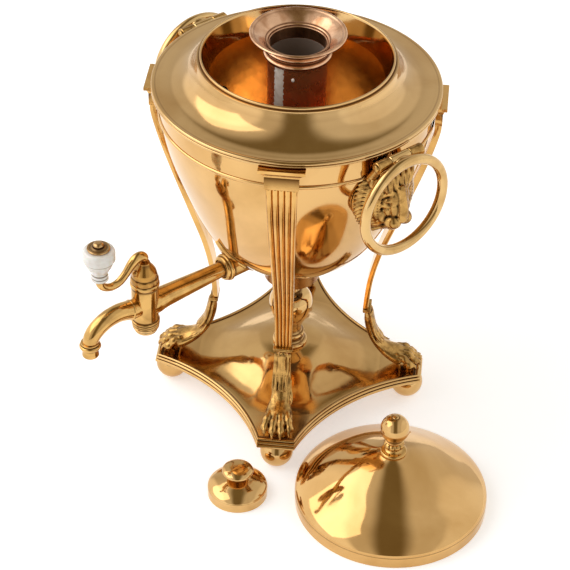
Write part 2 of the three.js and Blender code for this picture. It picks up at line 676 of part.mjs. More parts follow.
// Shoulder and neck
// One spun sheet: moulded edge, hollow cove, ledge for the lid and rim, then
// the neck tapers down inside to its lip.
const flangeTop = flangeUnder + flangeThick;
const ledgeRadius = neckRadius + neckStep;
const ledgeZ = neckRim - neckStep * 1.2;
const coveRise = ledgeZ - flangeTop;
const coveOut = flangeRadius - flangeThick * 0.3 - ledgeRadius;
const coveLine = coveShares.map(([out, rise]) => [ledgeRadius + out * coveOut, flangeTop + rise * coveRise]);
const coveInward = [...coveLine].reverse();
const lipZ = neckRim - neckLipDrop;
const flangeInside = bowlRadius - shoulderWall - seatGap;
const coveUnder = offset(coveInward, -shoulderWall).filter(([r]) => r > ledgeRadius && r < flangeInside);
const flangeLine = flangeShares.map(([inward, rise]) => (
  [flangeRadius - inward * flangeThick, flangeUnder + rise * flangeThick]
));
piece('shoulder', turnedRing([
  [flangeInside, flangeUnder], ...flangeLine, ...coveInward,
  [ledgeRadius, ledgeZ], [neckRadius, ledgeZ], [neckRadius, neckRim], [neckRadius - shoulderWall, neckRim],
  [neckLip, lipZ + shoulderWall / 2], [neckLip + shoulderWall, lipZ - shoulderWall / 2],
  [neckRadius - shoulderWall * 0.4, ledgeZ - shoulderWall * 2],
  [ledgeRadius - shoulderWall * 0.4, coveLine[0][1] - shoulderWall * 1.4],
  ...coveUnder.reverse(), [flangeInside, flangeTop - shoulderWall * 0.6],
], bowlSegs), paleBrass);

// Tap shield
// Lozenge plate on the bowl's wall with a short hub round the pipe.
const shieldLow = pipeZ - shieldDown;
const shieldHigh = pipeZ + shieldUp;
function onWall(z, distance) {
  const step = bowlHeight / 50;
  const slope = (bowlRadiusAt(z + step) - bowlRadiusAt(z - step)) / (2 * step);
  const long = Math.hypot(1, slope);
  return [bowlRadiusAt(z) + distance / long, z - slope * distance / long];
}
const shieldPlate = skin(shieldShares.map(([rise, wide]) => {
  const z = shieldLow + rise * (shieldHigh - shieldLow);
  return shieldSectionShares.map(([across, front, thick]) => {
    const [r, h] = onWall(z, front ? seatGap + shieldThick * thick : -shieldThick);
    const a = across * wide * shieldHalf / bowlRadiusAt(z);
    return vec(r * Math.sin(a), -r * Math.cos(a), h);
  });
}));
const hubEnd = wallAt + hubReach;
const hub = alongTap(turnedSolid([
  [hubRadius, wallAt - hubReach], [hubRadius, hubEnd - hubRadius * 0.5],
  [hubRadius * 1.1, hubEnd - hubRadius * 0.4],
  [hubRadius * 1.1, hubEnd - hubRadius * 0.15], [hubRadius * 0.96, hubEnd],
], middleSegs)).translate(0, 0, pipeZ);
const pipeBore = rod(pipeRadius + seatGap, vec(0, 0, pipeZ), vec(0, -hubEnd - cutOver, pipeZ), middleSegs);
piece('tap_shield', cut(join(shieldPlate, hub), bowlCore, pipeBore), brass);

// Tap body
// Pipe, cock and curved spout cast in one, with a waterway right through.
const barrelTop = pipeZ + barrelAbove;
const barrelBottom = pipeZ - barrelBelow;
const pipe = alongTap(turnedSolid([
  [pipeRadius, wallAt - pipeTail], [pipeRadius, hubEnd - hubRadius * 0.1], [pipeWaist, hubEnd],
  [pipeSwell, tapReach - barrelRadius * 1.7], [pipeSwell * 1.16, tapReach - barrelRadius * 0.85],
  [pipeSwell * 1.16, tapReach],
], middleSegs)).translate(0, 0, pipeZ);
const barrel = at(turnedSolid([
  [barrelRadius * 0.95, barrelBottom], [barrelRadius, barrelBottom + barrelRadius * 0.12],
  [barrelRadius, barrelTop - barrelRadius * 0.4],
  [barrelRadius * 1.05, barrelTop - barrelRadius * 0.3], [barrelRadius * 1.05, barrelTop],
], barrelSegs), 0, -tapReach);
const spoutLine = new THREE.CatmullRomCurve3(spoutShares.map(([out, rise]) => (
  vec(0, -tapReach - out * spoutReach, pipeZ + rise * nozzleDrop)
)));
function along(curve, radius, sides, steps) {
  const shape = new THREE.Shape(Array.from({ length: sides }, (_, i) => {
    const a = i * 2 * Math.PI / sides;
    return new THREE.Vector2(radius * Math.cos(a), radius * Math.sin(a));
  }));
  return solid(new THREE.ExtrudeGeometry(shape, { steps, extrudePath: curve, bevelEnabled: false }));
}
const spout = along(spoutLine, spoutRadius, smallSegs, 9);
const mouthZ = pipeZ - nozzleDrop;
const nozzleShares = [[0.94, 0], [1, 0.08], [1, 0.58], [1.27, 0.68], [1.27, 0.9], [1.05, 1]];
const nozzleY = -tapReach - spoutReach;
const nozzle = at(turnedSolid(
  nozzleShares.map(([r, h]) => [r * nozzleRadius, mouthZ + h * nozzleHeight]), smallSegs,
), 0, nozzleY);
const plugDrill = upright(plugRadius + runGap, barrelBottom - cutOver, barrelTop + cutOver, barrelSegs);
const plugBore = at(plugDrill, 0, -tapReach);
const inletWay = rod(wayRadius, vec(0, -wallAt * 0.5, pipeZ), vec(0, -tapReach, pipeZ), 6);
const outletWay = along(spoutLine, wayRadius, 6, 9);
const mouthWay = at(upright(wayRadius, mouthZ - cutOver, mouthZ + nozzleHeight, 6), 0, nozzleY);
piece('tap_body', cut(join(pipe, barrel, spout, nozzle), plugBore, inletWay, outletWay, mouthWay), brass);

// Plug, washer, nut
// The plug is shut as the lever lies over the spout: its waterway is square to the pipe.
const headBottom = barrelTop + seatGap;
const plugLow = barrelBottom + seatGap;
const washerTop = barrelBottom - seatGap;
const plugNutTop = washerTop - washerThick - seatGap;
const plugEndZ = plugNutTop - plugNutThick - plugEndOver;
const headTop = headBottom + headHeight;
const plugBody = turnedSolid([
  [plugEnd, plugEndZ], [plugEnd, plugLow], [plugRadius, plugLow], [plugRadius, headBottom],
  ...headShares.map(([r, h]) => [r * headRadius, headBottom + h * headHeight]),
], barrelSegs);
const wayEnd = plugRadius + cutOver;
const plugWay = rod(wayRadius, vec(-wayEnd, 0, pipeZ), vec(wayEnd, 0, pipeZ), 6);
const pegHole = upright(pegRadius + seatGap, headTop - pegDepth, headTop + cutOver, 8);
piece('tap_plug', cut(plugBody, plugWay, pegHole), brass, 0, -tapReach);
const plugEndHole = plugEnd + seatGap;
// Round disc on the plug's threaded end, rounded off below.
function plugDisc(radius, top, thick, taper) {
  return turnedRing([
    [plugEndHole, top - thick], [radius * taper, top - thick], [radius, top - thick / 2],
    [radius, top], [plugEndHole, top],
  ], smallSegs);
}
piece('plug_washer', plugDisc(washerRadius, washerTop, washerThick, 0.96), brass, 0, -tapReach);
piece('plug_nut', plugDisc(plugNutRadius, plugNutTop, plugNutThick, 0.9), brass, 0, -tapReach);

// Lever and knob
// The S-shaped lever stands with a peg in the plug's head. A thinner rod at
// its other end carries the porcelain knob and its brass cap.
const leverLine = new THREE.CatmullRomCurve3(leverShares.map(([out, rise]) => (
  vec(0, -out * leverReach, headTop + rise * headHeight)
)));
const leverEndZ = headTop + leverShares[leverShares.length - 1][1] * headHeight;
const knobBottom = leverEndZ + seatGap * 2;
const knobTop = knobBottom + knobHeight;
const rodTop = knobTop + knobCapHeight * 0.3;
const leverBody = join(
  along(leverLine, leverRadius, 10, 14),
  upright(pegRadius, headTop - pegDepth + seatGap, headTop + leverShares[1][1] * headHeight, 8),
  at(upright(rodRadius, leverEndZ - leverRadius, rodTop, 8), 0, -leverReach),
);
piece('tap_lever', leverBody, brass, 0, -tapReach);
const rodHole = rodRadius + seatGap;
piece('lever_knob', turnedRing([
  ...knobShares.map(([r, h]) => [r * knobRadius, knobBottom + h * knobHeight]),
  [rodHole, knobTop], [rodHole, knobBottom],
], middleSegs), porcelain, 0, -tapReach - leverReach);
const knobCapSeat = knobTop + seatGap;
const knobCapBody = turnedSolid(
  knobCapShares.map(([r, h]) => [r * knobCapRadius, knobCapSeat + h * knobCapHeight]), middleSegs,
);
const rodDrill = upright(rodHole, knobCapSeat - cutOver, rodTop + seatGap, 8);
piece('knob_cap', cut(knobCapBody, rodDrill), brass, 0, -tapReach - leverReach);

// Lion masks with hinge knuckles
// A relief over the bowl's wall: mane round the edge, then the head and snout
// as bulging lumps. Two lugs rise from the mane to the knuckles of the hinge.
const wallX = (y, z, gap) => Math.sqrt((bowlRadiusAt(z) + gap) ** 2 - y ** 2);
function maskFront(y, z, edge) {
  const mane = wallX(y, z, reliefGap) + maneThick * (0.45 + 0.55 * Math.sqrt(1 - edge ** 4));
  return lionShares.reduce((most, [xo, yo, zo, ax, ay, az]) => {
    const k = 1 - ((y / maskHalfWide - yo) / ay) ** 2 - ((z - maskZ) / maskHalfWide - zo) ** 2 / az ** 2;
    return k > 0 ? Math.max(most, bowlRadius + (xo + ax * Math.sqrt(k)) * maskHalfWide) : most;
  }, mane);
}
function maskRing(share, x) {
  return Array.from({ length: maskAngles }, (_, i) => {
    const a = i * 2 * Math.PI / maskAngles;
    const tuft = share === 1 && i % 2 ? maskTuftShare : 1;
    const y = share * tuft * maskHalfWide * Math.sin(a);
    const z = maskZ + share * tuft * Math.cos(a) * (Math.cos(a) > 0 ? maskUp : maskDown);
    return vec(x(y, z, share), y, z);
  });
}
const maskBack = (y, z) => wallX(y, z, reliefGap);
const relief = skin([
  ...maskBackShares.map((s) => maskRing(s, maskBack)),
  ...[...maskRingShares].reverse().map((s) => maskRing(s, maskFront)),
]);
const lugWide = knuckleWide;
const lugMiddle = sleeveHalf + seatGap + lugWide / 2;
const lugShape = new THREE.Shape([
  [bowlRadius + reliefGap * 2, maskZ + maskUp * 0.66], [bowlRadius + maneThick * 1.3, maskZ + maskUp * 0.5],
  [hingeX + knuckleRadius * 0.7, hingeZ - knuckleRadius * 0.6], [hingeX, hingeZ],
  [hingeX - knuckleRadius * 0.94, hingeZ - knuckleRadius * 0.2],
  [hingeX - knuckleRadius * 1.5, hingeZ - knuckleRadius * 1.2],
  [bowlRadius + reliefGap * 2, maskZ + maskUp * 0.86],
].map(([x, z]) => new THREE.Vector2(x, z)));
const lugBlock = new THREE.ExtrudeGeometry(lugShape, { depth: lugWide, bevelEnabled: false });
const lug = solid(lugBlock.rotateX(Math.PI / 2));
const crosswise = (radius, from, to) => rod(radius, vec(hingeX, from, hingeZ), vec(hingeX, to, hingeZ));
const hingeEnd = sleeveHalf + seatGap + knuckleWide;
const maskNutSeat = insideBowl(studZ - maskNutRadius) - seatGap;
const grooveHalf = beadHalf + seatGap;
const beadGroove = upright(beadOuter + seatGap, beadZ - grooveHalf, beadZ + grooveHalf, bowlSegs);
const maskStudFrom = maskNutSeat - maskNutThick - seatGap;
const maskStudTo = bowlRadiusAt(studZ) + maneThick;
const maskStudRod = rod(maskStud, vec(maskStudFrom, 0, studZ), vec(maskStudTo, 0, studZ), 8);
const maskBody = cut(
  join(relief, ...[-1, 1].flatMap((side) => [
    lug.clone().translate(0, side * lugMiddle + lugWide / 2, 0),
    crosswise(knuckleRadius, side * lugMiddle - lugWide / 2, side * lugMiddle + lugWide / 2),
  ]), maskStudRod),
  crosswise(pinRadius + runGap, -hingeEnd - cutOver, hingeEnd + cutOver), beadGroove,
);
const maskNut = hexNut(maskStud, maskNutRadius, 0, maskNutThick)
  .rotateY(Math.PI / 2).translate(maskNutSeat - maskNutThick, 0, studZ);
const pinReach = hingeEnd + seatGap;
const hingePin = turnedSolid([
  [pinHead, -pinReach - pinHeadThick], [pinHead, -pinReach], [pinRadius, -pinReach],
  [pinRadius, pinReach], [pinHead, pinReach], [pinHead, pinReach + pinHeadThick],
], smallSegs).rotateX(Math.PI / 2).translate(hingeX, 0, hingeZ);

// Ring handles
// A closed ring with a sleeve behind its top, joined by a short neck.
const ringBody = new THREE.TorusGeometry(ringRadius, ringTube, 8, 22);
ringBody.rotateY(Math.PI / 2).translate(ringX, 0, ringZ);
const neckBlock = new THREE.BoxGeometry(ringX - hingeX, sleeveHalf * 2, knuckleRadius * 1.3);
neckBlock.translate((ringX + hingeX) / 2, 0, hingeZ + ringRise / 2);
const ringHandle = cut(
  join(ringBody, neckBlock, crosswise(knuckleRadius, -sleeveHalf, sleeveHalf)),
  crosswise(pinRadius + runGap * 1.5, -sleeveHalf - cutOver, sleeveHalf + cutOver),
);
for (const [side, turn] of [['right', 0], ['left', Math.PI]]) {
  piece(`lion_mask_${side}`, maskBody, castBrass, 0, 0, turn);
  piece(`mask_nut_${side}`, maskNut, iron, 0, 0, turn);
  piece(`hinge_pin_${side}`, hingePin, brass, 0, 0, turn);
  piece(`ring_handle_${side}`, ringHandle, paleBrass, 0, 0, turn);
}

// Lid
// Spun dome whose skirt slips over the neck's rim, with a fluted collar and a
// ball held by a stud and a nut inside.
const lidDome = lidHeight - lidSkirt;
const lidLine = [
  [lidRadius, 0],
  ...lidShares.map(([out, rise]) => (
    [lidTopRadius + (lidRadius - lidTopRadius) * out, lidSkirt + rise * lidDome]
  )),
];
const lidInner = [
  [lidInside, 0], [lidInside, lidSkirt], ...offset(lidLine, -lidWall).filter((_, i) => i > 2 && i % 2),
];
const lidHole = finialStud + seatGap;
const lidUnder = lidHeight - lidWall;
const lidBody = turnedRing([
  ...lidLine, [lidHole, lidHeight], [lidHole, lidUnder], [lidTopRadius - lidWall, lidUnder],
  ...lidInner.reverse(),
], bowlSegs);
piece('lid', lidBody, brass, lidX, lidY);
const collarSeat = lidHeight + seatGap;
const collarRing = (radius, rise, lobe) => Array.from({ length: collarLobes * 2 }, (_, i) => {
  const a = i * Math.PI / collarLobes;
  const r = radius - (i % 2 ? lobe * lobeDepth : 0);
  return vec(r * Math.cos(a), r * Math.sin(a), collarSeat + rise * collarHeight);
});
piece('lid_collar', skin([
  ...collarShares.map(([r, h, lobe]) => collarRing(r * collarRadius, h, lobe)),
  collarRing(lidHole, 1, 0), collarRing(lidHole, 0, 0),
], true), brass, lidX, lidY);
const ballZ = lidHeight + finialRise;
const ballBottom = collarSeat + collarHeight + seatGap;
const lidNutTop = lidUnder - seatGap;
const finialEnd = lidNutTop - lidNutThick - seatGap * 4;
const ballSteps = 6;
const ballPoints = Array.from({ length: ballSteps }, (_, i) => {
  const a = -Math.PI / 2 * 0.72 + (Math.PI / 2 * 1.72) * i / ballSteps;
  return [finialBall * Math.cos(a), ballZ + finialBall * Math.sin(a)];
});
piece('lid_finial', turned([
  [0, finialEnd], [finialStud, finialEnd], [finialStud, ballBottom], [finialBall * 0.62, ballBottom],
  [finialBall * 0.66, ballBottom + finialBall * 0.08], ...ballPoints, [0, ballZ + finialBall],
], smallSegs), brass, lidX, lidY);
piece('lid_nut', hexNut(finialStud, lidNutRadius, lidNutTop - lidNutThick, lidNutTop), iron, lidX, lidY);

// Chimney cap
const capLine = capShares.map(([r, h]) => [r * capRadius, h * capHeight]);
const capHole = capKnobStud + seatGap;
const capInner = offset(capLine, -capWall).filter(([r], i) => r > capHole + capWall && i !== 2);
capInner[0] = [capRadius - capWall, 0];
capInner[1] = [capRadius - capWall, capLine[1][1]];
const capInnerTop = capInner[capInner.length - 1][1];
piece('chimney_cap', turnedRing([
  ...capLine, [capHole, capHeight], [capHole, capInnerTop], ...capInner.reverse(),
], tubeSegs), brass, capX, capY);
const capKnobSeat = capHeight + seatGap;
piece('cap_knob', turnedSolid([
  [capKnobStud, capInnerTop], [capKnobStud, capKnobSeat],
  ...capKnobShares.map(([r, h]) => [r * capKnobRadius, capKnobSeat + h * capKnobHeight]),
], smallSegs), brass, capX, capY);

// Origin
// The whole set stands on z = 0 with its middle at x = y = 0.
const set = new THREE.Group();
set.add(urn);
urn.updateMatrixWorld(true);
const middle = new THREE.Box3().setFromObject(urn, true).getCenter(new THREE.Vector3());
urn.position.set(-middle.x, -middle.y, 0);

export default set;
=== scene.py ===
import math
import bmesh
import bpy
import numpy as np
from mathutils import Matrix, Vector


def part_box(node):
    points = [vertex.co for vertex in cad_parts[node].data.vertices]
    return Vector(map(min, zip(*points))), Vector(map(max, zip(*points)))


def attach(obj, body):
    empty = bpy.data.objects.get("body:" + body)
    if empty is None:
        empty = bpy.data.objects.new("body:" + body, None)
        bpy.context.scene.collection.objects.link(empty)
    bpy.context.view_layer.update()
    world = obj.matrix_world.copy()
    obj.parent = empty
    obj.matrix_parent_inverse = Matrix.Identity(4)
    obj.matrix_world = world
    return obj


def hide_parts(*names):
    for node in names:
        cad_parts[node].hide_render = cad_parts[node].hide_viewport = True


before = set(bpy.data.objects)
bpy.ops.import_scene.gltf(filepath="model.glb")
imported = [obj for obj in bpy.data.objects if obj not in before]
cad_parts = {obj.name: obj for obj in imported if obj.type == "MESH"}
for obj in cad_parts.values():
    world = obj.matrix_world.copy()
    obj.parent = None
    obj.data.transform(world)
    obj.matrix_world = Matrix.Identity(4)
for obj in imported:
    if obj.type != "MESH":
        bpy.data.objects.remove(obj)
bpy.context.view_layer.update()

# Plinth: a square brass plate with hollowed sides and cut-off corners, cast with a moulded edge
# and a low dome in its middle, then polished by hand. The stem is bolted down on the dome.
# Sizes are in millimetres, from the urn's upright axis and the table.
mm = 0.001
low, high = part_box("bowl")
urn_axis = Vector(((low.x + high.x) / 2, (low.y + high.y) / 2, 0))
gap = 0.3
weld = 0.0005
foot_circle = 103
corner_reach = foot_circle + 12.4
corner_half = 15.6
side_inset = 76.5
side_half = 12
plinth_under = 24.7
edge_height = 8.6
plate_top = plinth_under + edge_height
dome_radius = 66
dome_rise = 16
dome_top = plate_top + dome_rise
dome_wall = 2
bolt_hole = 3.3


def flow(pins, steps=8):
    """A smooth line through the pins, as a thin ruler bends between nails."""
    pins = [Vector(p) for p in pins]
    pins = [2 * pins[0] - pins[1], *pins, 2 * pins[-1] - pins[-2]]
    line = []
    for a, b, c, d in zip(pins, pins[1:], pins[2:], pins[3:]):
        before, here, after = ((q - p).length ** 0.5 for p, q in ((a, b), (b, c), (c, d)))
        leave = here * ((b - a) / before - (c - a) / (before + here) + (c - b) / here)
        reach = here * ((c - b) / here - (d - b) / (here + after) + (d - c) / after)
        for i in range(steps):
            t = i / steps
            line.append(
                (2 * t**3 - 3 * t**2 + 1) * b + (t**3 - 2 * t**2 + t) * leave
                + (3 * t**2 - 2 * t**3) * c + (t**3 - t**2) * reach
            )
    return [*line, pins[-2]]


def hollow_layer(bm):
    """The layer that says how deep in a groove each point lies, from 0 to 1."""
    return bm.verts.layers.float.get("hollow") or bm.verts.layers.float.new("hollow")


def wrap(bm, around, along, place, grooves=None):
    """Bends a grid into a tube. place(i, j) gives point i round the tube in ring j along it."""
    layer = hollow_layer(bm)
    grid = bmesh.ops.create_grid(bm, x_segments=around, y_segments=along, size=0.5)
    for vert in grid["verts"]:
        across = round((vert.co.x + 0.5) * around) % around
        ring = round((vert.co.y + 0.5) * along)
        vert.co = place(across, ring)
        if grooves is not None:
            vert[layer] = grooves[ring]


def groove_depths(line, near=1.2, depth=0.35):
    """How deep in a groove each point of an outline lies, from 0 to 1 at depth millimetres. The
    outline is one of radius and height, and runs up the outside."""
    spots = np.array([tuple(p)[:2] for p in line])
    run = np.concatenate(([0], np.cumsum(np.linalg.norm(np.diff(spots, axis=0), axis=1))))
    before, after = (
        np.array([np.interp(run + side * near, run, spots[:, k]) for k in (0, 1)]).T for side in (-1, 1)
    )
    way = after - before
    way /= np.linalg.norm(way, axis=1)[:, None] + 1e-9
    level = (before + after) / 2 - spots
    return ((level[:, 0] * way[:, 1] - level[:, 1] * way[:, 0]) / depth).clip(0, 1)


def colour(code):
    """An sRGB hex colour as linear red, green, blue and a full alpha."""
    parts = [int(code[i:i + 2], 16) / 255 for i in (1, 3, 5)]
    return (*(p / 12.92 if p <= 0.04045 else ((p + 0.055) / 1.055) ** 2.4 for p in parts), 1)


def feed(tree, node, inputs):
    """Gives inputs of a shader node their values or links."""
    for key, value in inputs.items():
        if isinstance(value, bpy.types.NodeSocket):
            tree.links.new(value, node.inputs[key])
        else:
            node.inputs[key].default_value = value


def add(tree, kind, inputs=None, **settings):
    """Adds a shader node, with its settings and with values or links for its inputs."""
    node = tree.nodes.new("ShaderNode" + kind)
    for name, value in settings.items():
        setattr(node, name, value)
    feed(tree, node, inputs or {})
    return node


def new_finish(name):
    """A new material, with its node tree and its shader."""
    finish = bpy.data.materials.new(name)
    finish.use_nodes = True
    return finish, finish.node_tree, finish.node_tree.nodes["Principled BSDF"]


def polished_metal(name, bright, tarnished, patch, wave, wave_depth, smooth, dull, groove_shade="#6b4116"):
    """Metal polished by hand. patch and wave are the sizes in millimetres of the tarnished patches
    and of the waves that polishing leaves, smooth and dull the least and most roughness, and
    groove_shade the colour of the shade painted into its grooves, darker as they are deeper."""
    finish, tree, shader = new_finish(name)
    spot = add(tree, "TexCoord").outputs["Object"]
    patches = {"Vector": spot, "Scale": 1 / (patch * mm), "Detail": 4, "Distortion": 0.4}
    patches = add(tree, "TexNoise", patches)
    shade = add(tree, "MapRange", {0: patches.outputs[0], 1: 0.42, 2: 0.78}).outputs[0]
    tint = add(tree, "Mix", {0: shade, 6: colour(bright), 7: colour(tarnished)}, data_type="RGBA").outputs[2]
    rub = 0.3 * patch * mm
    rubs = add(tree, "TexNoise", {"Vector": spot, "Scale": 1 / rub, "Detail": 6, "Roughness": 0.7})
    gloss = add(tree, "MapRange", {0: rubs.outputs[0], 1: 0.35, 2: 0.75, 3: smooth, 4: dull}).outputs[0]
    # Painted shade: the deeper a point lies in a groove, the more of the groove_shade colour it takes, and
    # the duller it is.
    if groove_shade:
        depth = add(tree, "Attribute", attribute_name="hollow").outputs["Fac"]
        tint = add(tree, "Mix", {0: depth, 6: tint, 7: colour(groove_shade)}, data_type="RGBA").outputs[2]
        gloss = add(tree, "MapRange", {0: depth, 3: gloss, 4: 0.6}).outputs[0]
    waves = add(tree, "TexNoise", {"Vector": spot, "Scale": 1 / (wave * mm), "Detail": 2, "Roughness": 0.35})
    bend = add(tree, "Bump", {"Height": waves.outputs[0], "Distance": wave_depth * mm})
    feed(tree, shader, {"Base Color": tint, "Roughness": gloss, "Normal": bend.outputs[0], "Metallic": 1})
    return finish


def mark_hollows(mesh, rounds, depth):
    """Writes for each point how far it lies below the smoothed shape, from 0 to 1 at depth metres."""
    count = len(mesh.vertices)
    here = np.empty(count * 3)
    mesh.vertices.foreach_get("co", here)
    here = here.reshape(-1, 3)
    out = np.empty(count * 3)
    mesh.vertices.foreach_get("normal", out)
    ends = np.empty(len(mesh.edges) * 2, int)
    mesh.edges.foreach_get("vertices", ends)
    a, b = ends.reshape(-1, 2).T
    degree = np.bincount(ends, minlength=count)[:, None]
    level = here.copy()
    for _ in range(rounds):
        total = [
            np.bincount(a, level[b, k], count) + np.bincount(b, level[a, k], count) for k in range(3)
        ]
        level = 0.4 * level + 0.6 * np.array(total).T / degree
    below = ((level - here) * out.reshape(-1, 3)).sum(1) / depth
    marks = mesh.attributes.get("hollow") or mesh.attributes.new("hollow", "FLOAT", "POINT")
    marks.data.foreach_set("value", below.clip(0, 1))


def into_mesh(name, bm):
    """Writes a shape to a new mesh."""
    mesh = bpy.data.meshes.new(name)
    bm.to_mesh(mesh)
    bm.free()
    return mesh


def into_scene(name, data):
    """Puts a mesh, a lamp or a camera into the scene."""
    thing = bpy.data.objects.new(name, data)
    bpy.context.scene.collection.objects.link(thing)
    return thing


def mount(name, bm, finish, slot, body, nodes, turn=0.0, at=(0, 0), edge=0.3, crisp=35, groove_shade=None):
    """Closes a shape, takes it to its place in metres, and mounts it on its body."""
    bmesh.ops.remove_doubles(bm, verts=bm.verts, dist=weld)
    bmesh.ops.holes_fill(bm, edges=[e for e in bm.edges if e.is_boundary], sides=0)
    bmesh.ops.recalc_face_normals(bm, faces=bm.faces)
    place = Matrix.Translation(urn_axis) @ Matrix.Scale(mm, 4)
    place = place @ Matrix.Translation((*at, 0)) @ Matrix.Rotation(turn, 4, "Z")
    bmesh.ops.transform(bm, matrix=place, verts=bm.verts)
    mesh = into_mesh(name, bm)
    mesh.shade_smooth()
    mesh.set_sharp_from_angle(angle=math.radians(crisp))
    # The depth of each point below its smoothed shape, for the shade painted into its hollows.
    if groove_shade:
        mark_hollows(mesh, *groove_shade)
    piece = into_scene(name, mesh)
    mesh.materials.append(finish)
    if edge:
        rounded = piece.modifiers.new("rounded_edges", "BEVEL")
        rounded.width = edge * mm
        rounded.segments = 2
        rounded.limit_method = "ANGLE"
        rounded.angle_limit = math.radians(crisp)
        rounded.harden_normals = True
    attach(piece, body)
    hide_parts(*nodes)
    return piece


# Yellow brass, hand polished: warm mirror reflections that waver a little, with faint duller patches, and
# painted shade in the grooves of its moulding.
plate_brass = polished_metal(
    "polished_cast_brass", "#dab072", "#c2955a", 46, 24, 0.16, 0.07, 0.16, groove_shade="#5e3a14",
)


def plinth_plan():
    """The outline of the plate, four hollowed sides with a straight cut at each corner."""
    end = Matrix.Rotation(-math.pi / 4, 2) @ Vector((corner_reach, corner_half))
    rise = end.x - side_inset
    bow = (end.y**2 + rise**2) / (2 * rise)
    sweep = math.asin(-end.y / bow)
    plan = []
    for side in range(4):
        for i in range(2 * side_half + 1):
            a = sweep * (i / side_half - 1)
            spot = Vector((side_inset + bow * (1 - math.cos(a)), bow * math.sin(a)))
            plan.append(Matrix.Rotation(side * math.pi / 2, 2) @ spot)
    return plan


plan = plinth_plan()
# Moulding of the edge: share of the plate's reach, and share of the edge's height.
edge_line = [
    *flow([(0.986, 0), (0.996, 0.04), (1, 0.14), (1, 0.24), (0.993, 0.33)], 4),
    *flow([(0.976, 0.36), (0.973, 0.4), (0.976, 0.44)], 3),
    *flow([(0.99, 0.46), (0.995, 0.53), (0.995, 0.6), (0.988, 0.67)], 4),
    *flow([(0.968, 0.7), (0.965, 0.74), (0.968, 0.78)], 3),
    *flow([(0.978, 0.8), (0.984, 0.87), (0.982, 0.95), (0.972, 1), (0.96, 0.97)], 4),
    *flow([(0.953, 0.86), (0.945, 0.83), (0.93, 0.83)], 3),
]
# The dome flows out of the plate's own outline and grows round towards the stem.
dome_line = flow([
    (1, 0), (0.95, 0.02), (0.88, 0.09), (0.8, 0.22), (0.68, 0.46), (0.55, 0.7), (0.4, 0.9), (0.24, 1),
], 5)
dome_foot = plinth_under + edge_line[-1].y * edge_height


def dome_point(p, share, rise):
    """A point of the dome in the direction of p in the plan. It starts just inside the plate's
    edge, but no farther out than 80 mm."""
    edge = min(0.92 * p.length, 80)
    reach = share * (dome_radius + (edge - dome_radius) * max(0, share - 0.5) / 0.5)
    return Vector((*(p.normalized() * reach), dome_foot + rise * (dome_top - dome_foot)))


rings = [
    [Vector((*(p * share), plinth_under + rise * edge_height)) for p in plan] for share, rise in edge_line
]
rings += [[dome_point(p, share, rise) for p in plan] for share, rise in dome_line]
inner_line = [
    (bolt_hole, dome_top), (bolt_hole, dome_top - dome_wall), (0.24 * dome_radius, dome_top - dome_wall),
    (0.55 * dome_radius, plate_top + 0.7 * dome_rise - dome_wall), (0.84 * dome_radius, plate_top),
    (0.97 * dome_radius, plinth_under),
]
rings += [[Vector((*(p.normalized() * r), z)) for p in plan] for r, z in inner_line]
rings.append(rings[0])
# The middle of the first side stands for the whole edge.
grooves = groove_depths([(ring[side_half].x, ring[side_half].z) for ring in rings], 1, 0.3)
bm = bmesh.new()
wrap(bm, len(plan), len(rings) - 1, lambda i, j: rings[j][i], grooves)
mount("plinth_plate", bm, plate_brass, "brass", "urn", ["plinth"], crisp=40)

# Ball feet: four turned brass balls under the cut-off corners. A stud on each goes up through the
# plinth into the paw above it.
foot_radius = 13.9
foot_flat = 0.5
corners = {
    "front_right": -math.pi / 4, "back_right": math.pi / 4,
    "back_left": 3 * math.pi / 4, "front_left": 5 * math.pi / 4,
}


def turn_on_lathe(bm, line, steps=64, place=Matrix(), foot=0.0):
    """Turns an outline of radius and height points round the lathe's axis, and marks its grooves.
    Heights count from foot. An outline that doesn't start on the axis is closed."""
    layer = hollow_layer(bm)
    line = [Vector((r, foot + z)) for r, z in line]
    if line[0].x:
        line.append(line[0])
    longest = 3
    fine = line[:1]
    for a, b in zip(line, line[1:]):
        parts = max(1, math.ceil((b - a).length / longest))
        fine += [a.lerp(b, i / parts) for i in range(1, parts + 1)]
    verts = [bm.verts.new(place @ Vector((r, 0, z))) for r, z in fine]
    for vert, depth in zip(verts, groove_depths(fine)):
        vert[layer] = depth
    edges = [bm.edges.new(pair) for pair in zip(verts, verts[1:])]
    bmesh.ops.spin(
        bm, geom=verts + edges, cent=place.translation, axis=place.to_3x3() @ Vector((0, 0, 1)),
        angle=2 * math.pi, steps=steps, use_merge=True,
    )


def mount_turned(name, line, finish, slot, body, nodes, steps=64, place=Matrix(), foot=0.0, **rest):
    """Turns one outline and mounts it."""
    bm = bmesh.new()
    turn_on_lathe(bm, line, steps, place, foot)
    return mount(name, bm, finish, slot, body, nodes, **rest)


def ball_line(radius, middle, low, high, steps=20):
    """Part of a ball's outline, from one height to another."""
    start, stop = math.asin((low - middle) / radius), math.asin((high - middle) / radius)
    turns = [start + (stop - start) * i / steps for i in range(steps + 1)]
    return [(radius * math.cos(a), middle + radius * math.sin(a)) for a in turns]


# Fine-turned and buffed: small, hardly wavy mirrors, with painted shade darkening the grooves.
turned_brass = polished_metal("turned_brass", "#dbb275", "#c0945a", 30, 14, 0.05, 0.06, 0.15)
foot_top = plinth_under - gap
foot_line = [(0, 0), *ball_line(foot_radius, foot_radius - foot_flat, 0, foot_top), (0, foot_top)]
for corner, turn in corners.items():
    spot = (foot_circle * math.cos(turn), foot_circle * math.sin(turn))
    mount_turned(f"foot_{corner}", foot_line, turned_brass, "brass", "urn", [f"ball_foot_{corner}"], at=spot)
